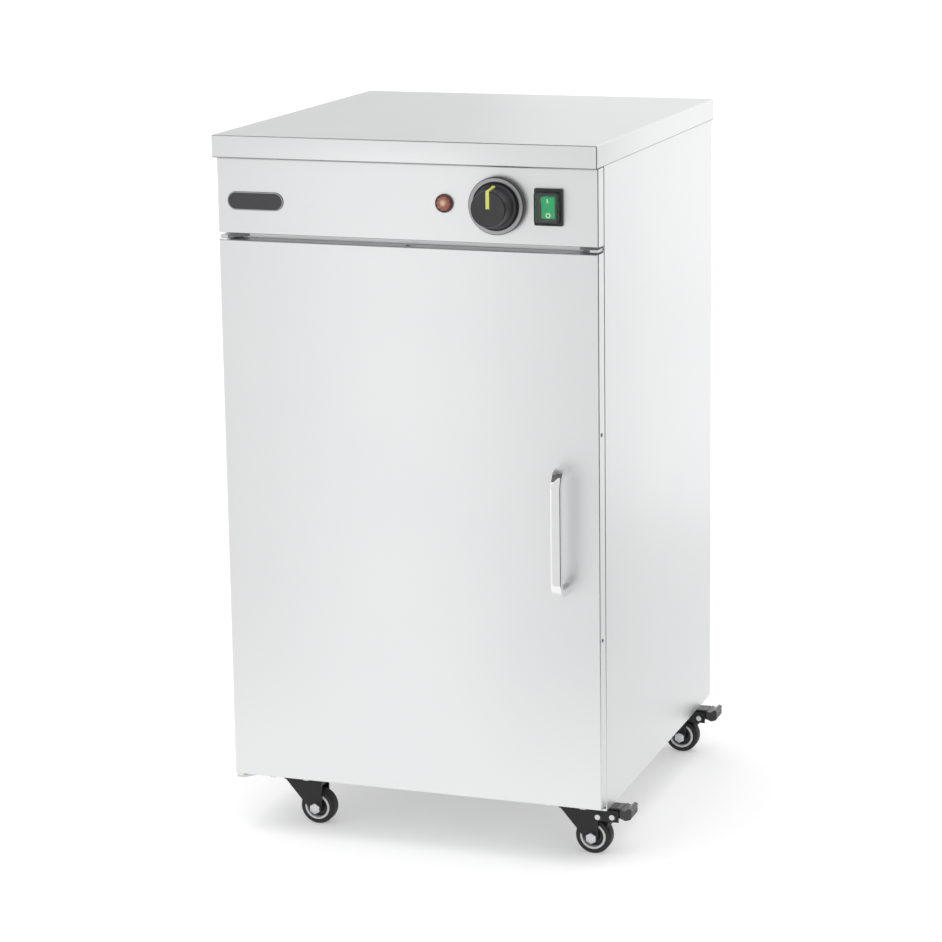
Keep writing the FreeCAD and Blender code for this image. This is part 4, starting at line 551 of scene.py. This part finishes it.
# ---------------------------------------------------------------------------------------------------
# Pilot lamp: a dark brown nylon bezel, clipped in from the front, round an amber acrylic lens, moulded
# with ten facets. The lamp behind it is unlit.
# ---------------------------------------------------------------------------------------------------
def turned(name, outline, centre, material, axis="Y", steps=96):
    """A lathe-turned piece: (radius, place along the axis) pairs in millimetres, turned about the axis."""
    solid = bmesh.new()
    rings = []
    for radius, along in outline:
        ring = []
        for index in range(steps if radius > 1e-6 else 1):
            angle = 2 * math.pi * index / steps
            across, up = radius * math.cos(angle), radius * math.sin(angle)
            spot = {"X": (along, across, up), "Y": (across, along, up), "Z": (across, up, along)}[axis]
            ring.append(solid.verts.new(Vector(centre) + Vector(spot) * MM))
        rings.append(ring)
    pairs = list(zip(rings, rings[1:]))
    if outline[0][0] > 1e-6 and outline[-1][0] > 1e-6:
        pairs.append((rings[-1], rings[0]))
    for one, other in pairs:
        for index in range(steps):
            after = (index + 1) % steps
            corners = list(dict.fromkeys([one[index % len(one)], one[after % len(one)],
                                          other[after % len(other)], other[index % len(other)]]))
            if len(corners) > 2:
                solid.faces.new(corners)
    return plain_piece(name, solid, material)


def middle_of(node):
    """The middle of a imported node's box."""
    low_corner, high_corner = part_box(node)
    return (Vector(low_corner) + Vector(high_corner)) / 2


FASCIA_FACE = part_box("control_fascia")[0][1]
lamp_centre = Vector((middle_of("lamp_bezel").x, FASCIA_FACE, middle_of("lamp_bezel").z))

# nylon comes from the mould half matt; the bezel's is polished, so that its rim catches the light
black_nylon = moulded("black_nylon_moulding", "2a282a", "201f20", 0.38, 0.35, 0.02)
brown_nylon = moulded("dark_brown_nylon_moulding", "3b2a28", "2c2120", 0.3, 0.35, 0.02, {
    "Coat Weight": 0.3})
lamp_bezel = turned("lamp_bezel_moulding", eased([
    (0, 20), (6.5, 20), (6.5, 0), (10.5, 0, 0.3), (10.5, -2.2, 0.8), (9.7, -3.6, 0.5), (8.7, -3.6, 0.2),
    (8.5, -1.0), (0, -1.0)]), lamp_centre, brown_nylon)
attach(lamp_bezel, "cabinet")
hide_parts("lamp_bezel")

# polished acrylic is clear and glossy; its amber is painted lighter and darker in cells about 2.2 mm wide,
# as painted light and shade on its facets
amber_acrylic, amber_tree, amber_shader = new_finish("amber_acrylic_painted_light", {
    "Roughness": 0.1, "IOR": 1.49, "Transmission Weight": 0.2, "Coat Weight": 0.6, "Coat Roughness": 0.04})
amber_place = add_node(amber_tree, "ShaderNodeTexCoord").outputs["Object"]
# a painted highlight: the lens is painted pale round a spot just above its middle and near its front
PAINTED_HIGHLIGHT_SPOT = lamp_centre + Vector((0, -4, 1)) * MM
amber_middle = add_node(amber_tree, "ShaderNodeMapping", {"Location": tuple(-PAINTED_HIGHLIGHT_SPOT)},
                        {"Vector": amber_place})
amber_reach = add_node(amber_tree, "ShaderNodeVectorMath", {"operation": "LENGTH"},
                       {0: amber_middle.outputs["Vector"]})
amber_painted_highlight = add_node(amber_tree, "ShaderNodeMapRange", {
    "interpolation_type": "SMOOTHSTEP", "From Min": 1.2 * MM, "From Max": 5.5 * MM},
    {"Value": amber_reach.outputs["Value"]})
amber_painted_light_cells = add_node(amber_tree, "ShaderNodeTexVoronoi", {"Scale": 1.0 / (2.2 * MM)},
                       {"Vector": amber_place})
amber_painted_light_and_shade = add_node(amber_tree, "ShaderNodeMix", {
    "data_type": "RGBA", 6: colour("b8694e"), 7: colour("6d3627")}, {0: amber_painted_light_cells.outputs["Distance"]})
amber_tint = add_node(amber_tree, "ShaderNodeMix", {"data_type": "RGBA", 6: colour("e3bfae")},
                      {0: amber_painted_highlight.outputs["Result"], 7: amber_painted_light_and_shade.outputs[2]})
amber_tree.links.new(amber_tint.outputs[2], amber_shader.inputs["Base Color"])

LENS_FACETS = 10
# radius, place and turn of each ring of corners, from the back; the turn is in facets
LENS_SECTION = ((8.3, -1.1, 0.0), (8.5, -3.5, 0.0), (7.2, -4.6, 0.5), (4.8, -5.5, 0.0), (2.2, -5.95, 0.5))
lens_solid = bmesh.new()
lens_rings = []
for lens_radius, lens_y, offset in LENS_SECTION:
    angles = [2 * math.pi * (i + offset) / LENS_FACETS for i in range(LENS_FACETS)]
    lens_rings.append([lens_solid.verts.new(lamp_centre + Vector((
        lens_radius * math.cos(angle), lens_y, lens_radius * math.sin(angle))) * MM) for angle in angles])
lens_solid.faces.new(lens_rings[0])
lens_solid.faces.new(lens_rings[-1])
skin(lens_solid, lens_rings[0], lens_rings[1])
for level, (one, other) in enumerate(zip(lens_rings[1:], lens_rings[2:])):
    for i in range(LENS_FACETS):
        after = (i + 1) % LENS_FACETS
        if level % 2 == 0:
            lens_solid.faces.new((one[i], one[after], other[i]))
            lens_solid.faces.new((one[after], other[after], other[i]))
        else:
            lens_solid.faces.new((one[i], other[after], other[i]))
            lens_solid.faces.new((one[i], one[after], other[after]))
lamp_lens = plain_piece("lamp_lens_facets", lens_solid, amber_acrylic, 8.0)
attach(lamp_lens, "cabinet")
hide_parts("lamp_lens")


# ---------------------------------------------------------------------------------------------------
# Dial ring and knob: a black ring faced with spun aluminium, and a black moulded knob with a flared
# skirt. A pale line let into the cap runs over its edge and down the skirt.
# ---------------------------------------------------------------------------------------------------
dial_centre = Vector((middle_of("dial_ring").x, FASCIA_FACE, middle_of("dial_ring").z))

# aluminium spun against a tool keeps rings of fine marks, which shade it round the dial
spun_aluminium, spun_tree, spun_shader = new_finish("spun_aluminium_satin", {
    "Metallic": 1.0, "Roughness": 0.34})
spun_place = add_node(spun_tree, "ShaderNodeMapping", {"Location": tuple(-dial_centre)},
                      {"Vector": add_node(spun_tree, "ShaderNodeTexCoord").outputs["Object"]})
spun_flat = add_node(spun_tree, "ShaderNodeVectorMath", {"operation": "MULTIPLY", 1: (1.0, 0.0, 1.0)},
                     {0: spun_place.outputs["Vector"]})
spun_radius = add_node(spun_tree, "ShaderNodeVectorMath", {"operation": "LENGTH"},
                       {0: spun_flat.outputs["Vector"]})
# turning marks are about 0.1 mm apart; these are 0.35 mm apart, so that they show
spun_marks = add_node(spun_tree, "ShaderNodeTexNoise", {
    "noise_dimensions": "1D", "Scale": 1.0 / (0.35 * MM), "Detail": 2.0},
    {"W": spun_radius.outputs["Value"]})
spun_tint = add_node(spun_tree, "ShaderNodeMix", {
    "data_type": "RGBA", 6: colour("8b8b8e"), 7: colour("bcbcbe")}, {0: spun_marks.outputs["Fac"]})
spun_relief = add_node(spun_tree, "ShaderNodeBump", {"Strength": 0.6, "Distance": 0.02 * MM},
                       {"Height": spun_marks.outputs["Fac"]})
spun_tree.links.new(spun_tint.outputs[2], spun_shader.inputs["Base Color"])
spun_tree.links.new(spun_relief.outputs["Normal"], spun_shader.inputs["Normal"])

dial_base = turned("dial_ring_base", eased([
    (5.4, 0), (32.0, 0), (32.0, -9.0, 0.8), (31.2, -9.5, 0.2), (26.6, -9.5), (26.6, -8.0), (5.4, -8.0)]),
    dial_centre, black_nylon)
dial_face = turned("dial_ring_face", eased([
    (26.5, -8.6), (31.3, -8.6), (31.3, -10.0, 0.5), (27.2, -10.0, 0.4), (26.5, -9.4)], closed=True),
    dial_centre, spun_aluminium)
for piece in (dial_base, dial_face):
    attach(piece, "cabinet")
    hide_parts("dial_ring")

# phenolic from a polished mould is hard and glossy, a little greyer than nylon
knob_plastic = moulded("black_phenolic_moulding", "2c2c2e", "242426", 0.24, 0.4, 0.01)
knob_body = turned("thermostat_knob_moulding", eased([
    (3.1, -8.4), (24.4, -8.4, 0.3), (25.0, -9.2, 0.4), (25.0, -13.4, 0.8), (22.6, -14.6, 0.8),
    (21.6, -18.0, 2.0), (20.2, -34.8, 0.6), (19.4, -36.5, 0.5), (18.6, -36.5, 0.2), (18.2, -36.2, 0.2),
    (0, -36.2), (0, -31.0), (3.1, -31.0)]), dial_centre, knob_plastic, steps=128)
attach(knob_body, "knob")
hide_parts("thermostat_knob")


def add_prism(solid, outline, low, high, centre, axis="X"):
    """Draws an outline, in millimetres, out along an axis, and closes its ends."""
    sides = []
    for along in (low, high):
        spots = [{"X": (along, p[0], p[1]), "Y": (p[0], along, p[1])}[axis] for p in outline]
        sides.append([solid.verts.new(Vector(centre) + Vector(spot) * MM) for spot in spots])
    for side in sides:
        solid.faces.new(side)
    skin(solid, *sides)


POINTER_HALF = 2.0
# paint that fills a groove dries flat and matt beside the knob's gloss
pointer_paint = moulded("pale_yellow_green_filled_line", "c8cc6a", "bfc35e", 0.45, 0.5, 0.01)
pointer_solid = bmesh.new()
add_prism(pointer_solid, eased([
    (-36.9, 0.6, 0.3), (-36.95, 20.2, 2.6), (-19.0, 22.0, 2.0), (-14.9, 23.4), (-14.9, 20.5),
    (-34.6, 17.0, 1.6), (-34.6, 0.6)], closed=True), -POINTER_HALF, POINTER_HALF, dial_centre)
pointer = plain_piece("thermostat_pointer", pointer_solid, pointer_paint)
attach(pointer, "knob")
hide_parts("thermostat_knob")

# bright zinc has fine crystals, which cloud it over a few millimetres
zinc_plate = clouded_metal("zinc_plated_steel", ("c3c6ca", "dcdde0"), (0.28, 0.42), 3, 3.0)
dress(zinc_plate, "thermostat_spindle", "thermostat_body")

# drawn copper is bright and darkens unevenly where it was handled
copper_tube = moulded("drawn_copper_capillary", "c77f5c", "b06a49", 0.28, 0.3, 0.005, {"Metallic": 1.0})
dress(copper_tube, "thermostat_bulb")


# ---------------------------------------------------------------------------------------------------
# Mains switch: a black snap-in housing with a green rocker that carries a bar above and a ring below,
# under a clear soft cover that keeps splashes out.
# ---------------------------------------------------------------------------------------------------
dress(black_nylon, "switch_housing")

ROCKER_TILT = 8.0
switch_middle = middle_of("switch_housing")
rocker_pivot = Vector((switch_middle.x, FASCIA_FACE + 1.0 * MM, switch_middle.z))
rocker_turn = Matrix.Translation(rocker_pivot) @ Matrix.Rotation(math.radians(ROCKER_TILT), 4, "X")
# green polycarbonate tinted in the mass, given a painted glow all over, though no lamp lights it
green_polycarbonate = moulded("green_polycarbonate_painted_glow", "0ea868", "0a985c", 0.25, 1.0, 0.004, {
    "Specular IOR Level": 0.2, "Emission Color": colour("0cb46c"), "Emission Strength": 0.38})
ROCKER_HALF = 7.5
rocker_solid = bmesh.new()
add_prism(rocker_solid, eased([
    (-6.5, 12.0, 1.0), (-4.5, 0.0), (-6.5, -12.0, 1.0), (0, -12.0, 0.4), (3.0, -4.0), (3.0, 4.0),
    (0, 12.0, 0.4)], closed=True), -ROCKER_HALF, ROCKER_HALF, (0, 0, 0))
rocker_ends = [e for e in rocker_solid.edges if abs(e.verts[0].co.x - e.verts[1].co.x) < 1e-7]
bmesh.ops.bevel(rocker_solid, geom=rocker_ends, offset=0.5 * MM, segments=3, profile=0.5, affect="EDGES")
rocker_solid.transform(rocker_turn)
rocker = plain_piece("switch_rocker_moulding", rocker_solid, green_polycarbonate)
# pad print lies on the face as a thin matt film, given a painted glow all over, though no lamp lights it
white_print_painted_glow = moulded("white_pad_print_painted_glow", "f4f5f3", "eceeea", 0.5, 0.4, 0.002, {
    "Emission Color": colour("ffffff"), "Emission Strength": 0.25})
bar_solid = bmesh.new()
bmesh.ops.create_cube(bar_solid, size=1.0)
bmesh.ops.scale(bar_solid, vec=(1.7 * MM, 0.5 * MM, 4.8 * MM), verts=bar_solid.verts)
bmesh.ops.bevel(bar_solid, geom=bar_solid.edges[:], offset=0.12 * MM, segments=2, profile=0.5,
                affect="EDGES")
# each half of the rocker's face leans out by 2 mm in 12, and its mark sits on it 8.2 mm from the pivot
face_lean = math.atan2(2.0, 12.0)
MARK_OUT = -5.9
MARK_REACH = 8.2
bar_solid.transform(rocker_turn @ Matrix.Translation(Vector((0, MARK_OUT, MARK_REACH)) * MM)
                    @ Matrix.Rotation(face_lean, 4, "X"))
on_bar = plain_piece("switch_on_bar", bar_solid, white_print_painted_glow)
off_ring = turned("switch_off_ring", [(1.6, -0.25), (2.9, -0.25), (2.9, 0.25), (1.6, 0.25)], (0, 0, 0),
                  white_print_painted_glow, steps=40)
off_ring.data.transform(rocker_turn @ Matrix.Translation(Vector((0, MARK_OUT, -MARK_REACH)) * MM)
                        @ Matrix.Rotation(-face_lean, 4, "X"))
for piece in (rocker, on_bar, off_ring):
    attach(piece, "rocker")
    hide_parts("switch_rocker")

# soft PVC is clear with a slight green cast, and hazy in places where it was gripped
clear_pvc, pvc_tree, pvc_shader = new_finish("clear_soft_pvc", {
    "IOR": 1.45, "Specular IOR Level": 0.12, "Transmission Weight": 1.0, "Base Color": colour("dbeee5")})
pvc_haze = add_node(pvc_tree, "ShaderNodeTexNoise", {"Scale": 1.0 / (5 * MM), "Detail": 2.0},
                    {"Vector": add_node(pvc_tree, "ShaderNodeTexCoord").outputs["Object"]})
pvc_rough = add_node(pvc_tree, "ShaderNodeMapRange", {"To Min": 0.0, "To Max": 0.06},
                     {"Value": pvc_haze.outputs["Fac"]})
pvc_tree.links.new(pvc_rough.outputs["Result"], pvc_shader.inputs["Roughness"])
dress(clear_pvc, "switch_cover")


# ---------------------------------------------------------------------------------------------------
# Services inside and at the back: a terminal block of undyed white nylon on the chamber's ceiling, and a
# black nylon gland for the supply, held in the back panel by its locknut.
# ---------------------------------------------------------------------------------------------------
white_nylon = moulded("white_nylon_moulding", "ecebe4", "e2e1d9", 0.42, 0.5, 0.01)
dress(white_nylon, "terminal_block")
dress(black_nylon, "cable_gland")


# ---------------------------------------------------------------------------------------------------
# Door: an outer and an inner pan of folded sheet, riveted at the edges, with an extruded silicone seal, a
# magnetic catch's plate, nylon bushes on the two hinge pins and a bent bar handle, screwed from inside.
# ---------------------------------------------------------------------------------------------------
dress(upright_satin, "door_outer_pan")
dress(mill_sheet, "door_inner_pan")
# extruded silicone is matt and slightly waxy
grey_silicone = moulded("grey_silicone_extrusion", "85878a", "797b7e", 0.55, 0.6, 0.02)
dress(grey_silicone, "door_gasket")
dress(white_nylon, "pivot_bushes", "magnetic_catch")
dress(zinc_plate, "catch_plate", "top_hinge_brackets", "bottom_hinge_bracket", "handle_screws",
      "door_rivets")

# the handle's chrome is plated over polished steel: a mirror with a faint haze
chrome = clouded_metal("polished_chrome_plate", ("eeeeef",), (0.05, 0.1), 30)
# the handle is one flat-faced bar bent at both ends, 12 mm wide and 9 mm thick
HANDLE_THICK = 9.0
HANDLE_BEND = 17.0
handle_low, handle_high = [Vector(corner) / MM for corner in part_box("door_handle")]
grip_y = handle_low.y + HANDLE_THICK / 2
foot_levels = (handle_high.z - HANDLE_THICK / 2, handle_low.z + HANDLE_THICK / 2)
grip_line = eased([(handle_high.y, foot_levels[0]), (grip_y, foot_levels[0], HANDLE_BEND),
                   (grip_y, foot_levels[1], HANDLE_BEND), (handle_high.y, foot_levels[1])], steps=16)
bar_half = (handle_high.x - handle_low.x) / 2
OUTER_EDGE = 1.3
INNER_EDGE = 2.5
bar_section = eased([(-bar_half, HANDLE_THICK / 2, OUTER_EDGE), (bar_half, HANDLE_THICK / 2, OUTER_EDGE),
                     (bar_half, -HANDLE_THICK / 2, INNER_EDGE), (-bar_half, -HANDLE_THICK / 2, INNER_EDGE)],
                    closed=True, steps=4)
handle_solid = bmesh.new()
bar_rings = []
for index, spot in enumerate(grip_line):
    run = grip_line[min(index + 1, len(grip_line) - 1)] - grip_line[max(index - 1, 0)]
    outward = Vector((run.y, -run.x)).normalized()
    bar_rings.append([handle_solid.verts.new(Vector((
        handle_low.x + bar_half + across, spot.x + outward.x * lift, spot.y + outward.y * lift)) * MM)
        for across, lift in bar_section])
handle_solid.faces.new(bar_rings[0])
handle_solid.faces.new(bar_rings[-1])
for one, other in zip(bar_rings, bar_rings[1:]):
    skin(handle_solid, one, other)
handle = plain_piece("door_handle_bent_bar", handle_solid, chrome, 30.0)
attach(handle, "door")
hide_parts("door_handle")


# ---------------------------------------------------------------------------------------------------
# Fasteners of the casters: zinc-plated hexagon bolts through the wheels and domed rivets through the
# brakes, each headed shape turned once and set on its sites.
# ---------------------------------------------------------------------------------------------------
site_tree, site_in = new_tree("fasteners_on_sites", [("Fastener", "Object"), ("Turn", "Float")])
fastener_info = add_node(site_tree, "GeometryNodeObjectInfo", {"As Instance": True},
                         {"Object": site_in["Fastener"]})
facing_way = add_node(site_tree, "GeometryNodeInputNamedAttribute", {
    "data_type": "FLOAT_VECTOR", "Name": "facing"})
facing_turn = add_node(site_tree, "FunctionNodeAlignRotationToVector", {"axis": "Z"},
                       {"Vector": facing_way.outputs["Attribute"]})
set_fasteners = add_node(site_tree, "GeometryNodeInstanceOnPoints", links={
    "Points": site_in["Geometry"], "Instance": fastener_info.outputs["Geometry"],
    "Rotation": facing_turn.outputs["Rotation"]})
site_turn = add_node(site_tree, "ShaderNodeCombineXYZ", links={"Z": site_in["Turn"]})
turned_fasteners = add_node(site_tree, "GeometryNodeRotateInstances", {"Local Space": True}, {
    "Instances": set_fasteners.outputs["Instances"], "Rotation": site_turn.outputs["Vector"]})
finish_tree(site_tree, turned_fasteners.outputs["Instances"], zinc_plate)

# the hexagon's top is chamfered, so its corners catch the light
HEX_CORNER = 6.58
bolt_shape = bmesh.new()
for bolt_part, outline, sides in (
        ("head", [(0, 12.5), (HEX_CORNER, 12.5), (HEX_CORNER, 16.9), (5.5, 17.5), (0, 17.5)], 6),
        ("shank", [(0, -17.4), (2.9, -17.4), (2.9, 12.6), (0, 12.6)], 24),
        ("nut", [(0, -12.6), (HEX_CORNER, -12.6), (HEX_CORNER, -16.4), (5.5, -17.0), (0, -17.0)], 6)):
    part = turned("axle_bolt_" + bolt_part, outline, (0, 0, 0), zinc_plate, axis="Z", steps=sides)
    bolt_shape.from_mesh(part.data)
    bpy.data.objects.remove(part)
axle_bolt = plain_piece("axle_bolt", bolt_shape, zinc_plate, 20.0)
brake_rivet = turned("brake_rivet", eased([
    (0, -0.2), (4.5, -0.2), (4.5, 0.7, 0.3), (2.9, 1.75, 1.6), (0, 1.75)]),
    (0, 0, 0), zinc_plate, axis="Z", steps=32)
# where the two rivets go through the fork, from the wheel's middle: along x and up, then out to the cheek
RIVET_SPOTS = ((7.2, 25.6), (24.5, 26.9))
RIVET_SEAT = 12.5


# ---------------------------------------------------------------------------------------------------
# Casters: a black-enamelled plate and fork, a black rubber tyre on a hub with a pale nylon rim and, on the
# right, a black pedal that turns on its rivet.
# ---------------------------------------------------------------------------------------------------
# stoved enamel on pressed steel follows the press's faint ripple, half glossy
black_enamel = moulded("black_stoved_enamel_on_steel", "151517", "0f0f11", 0.34, 1.2, 0.03, {
    "Specular IOR Level": 0.35, "Coat Weight": 0.1, "Coat Roughness": 0.2})
# rubber swallows the light; the hub's rim is pale undyed nylon, its core is charcoal, and the pedal is dyed
# through
rubber = moulded("black_rubber_moulding", "1b1b1c", "141415", 0.6, 0.5, 0.02)
pale_nylon = moulded("light_grey_nylon_moulding", "cfd0d1", "bfc0c2", 0.35, 0.5, 0.01)
dark_nylon = moulded("charcoal_nylon_moulding", "2b2b2d", "222224", 0.4, 0.5, 0.01)
gloss_nylon = moulded("glossy_black_nylon_moulding", "1c1c1e", "161617", 0.24, 1.0, 0.01, {
    "Coat Weight": 0.4})
TREAD_HALF = 12.9
CHEEK_HALF = 9.6
dress(black_enamel, "caster_plates")
dress(zinc_plate, "caster_bolts")
for caster in ("front_left", "front_right", "back_left", "back_right"):
    dress(black_enamel, caster + "_fork")
    wheel_centre = middle_of(caster + "_tyre")
    tyre = turned(caster + "_tyre_moulding", eased([
        (15.3, -7.9), (16.2, -8.45, 0.3), (19.6, -8.2, 1.2), (21.24, -6.0, 2.4), (21.24, 6.0, 2.4),
        (19.6, 8.2, 1.2), (16.2, 8.45, 0.3), (15.3, 7.9)], closed=True), wheel_centre, rubber)
    rim = turned(caster + "_hub_rim", eased([
        (12.5, -5.0), (12.7, -8.9, 0.5), (15.3, -8.9, 0.6), (15.35, -7.9), (15.35, 7.9), (15.3, 8.9, 0.6),
        (12.7, 8.9, 0.5), (12.5, 5.0)], closed=True), wheel_centre, pale_nylon)
    core = turned(caster + "_hub_core", eased([
        (3.2, -9.8), (7.0, -9.8, 0.6), (7.4, -3.2, 1.0), (12.6, -3.2), (12.6, 3.2), (7.4, 3.2, 1.0),
        (7.0, 9.8, 0.6), (3.2, 9.8)], closed=True), wheel_centre, dark_nylon)
    for piece, node, slot in ((tyre, "_tyre", "black_rubber"), (rim, "_hub", "grey_wheel_plastic"),
                              (core, "_hub", "grey_wheel_plastic")):
        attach(piece, caster + "_wheel")
        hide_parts(caster + node)
    bolt = grow(caster + "_axle_bolt", site_tree, {"Fastener": axle_bolt, "Turn": math.radians(30.0)},
                [wheel_centre], [(0, -1, 0)])
    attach(bolt, caster + "_swivel")
    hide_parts(caster + "_axle")
    if not caster.endswith("right"):
        continue
    rivets = grow(caster + "_brake_rivets", site_tree, {"Fastener": brake_rivet, "Turn": 0.0}, [
        wheel_centre + Vector((x, side * RIVET_SEAT, z)) * MM for x, z in RIVET_SPOTS for side in (-1, 1)],
        [(0, side, 0) for x, z in RIVET_SPOTS for side in (-1, 1)])
    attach(rivets, caster + "_swivel")

    # the tread is wider than the part between the cheeks, and its tip is ribbed for the shoe
    hinge = wheel_centre + Vector((RIVET_SPOTS[1][0], 0, RIVET_SPOTS[1][1])) * MM
    tread = [(9.6, 10.65, 1.2), (15.0, 8.6, 3.0), (20.4, 12.7, 1.6), (23.5, 10.4, 1.4)]
    tip = [(23.5 - (0.9 if rib % 2 else 0.0), 9.0 - rib * 1.15, 0.25) for rib in range(8)]
    lip = [(23.5, -0.4, 1.6), (16.0, -2.8, 2.0), (9.6, -0.4, 0.6)]
    cheek = [(-12.4, 1.9, 1.0), (-9.4, 7.3, 1.5), (-3.4, 10.5, 1.5), (10.0, 10.6, 0.4), (10.0, -0.2, 0.4),
             (5.0, -3.6, 1.5), (1.5, -4.6, 1.0), (-4.9, -13.9, 0.6), (-7.0, -12.7, 0.6), (-4.0, -4.15, 1.0),
             (-10.4, -2.1, 1.0)]
    pedal_solid = bmesh.new()
    for outline, reach in ((tread + tip + lip, TREAD_HALF), (cheek, CHEEK_HALF)):
        add_prism(pedal_solid, eased(outline, closed=True, steps=3), -reach, reach, hinge, axis="Y")
    pedal = plain_piece(caster + "_brake_pedal_moulding", pedal_solid, gloss_nylon, 40.0)
    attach(pedal, caster + "_brake")
    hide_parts(caster + "_brake_pedal")
# the two shapes that the trees copied aren't pieces of their own
for shape in (axle_bolt, brake_rivet):
    bpy.data.objects.remove(shape)
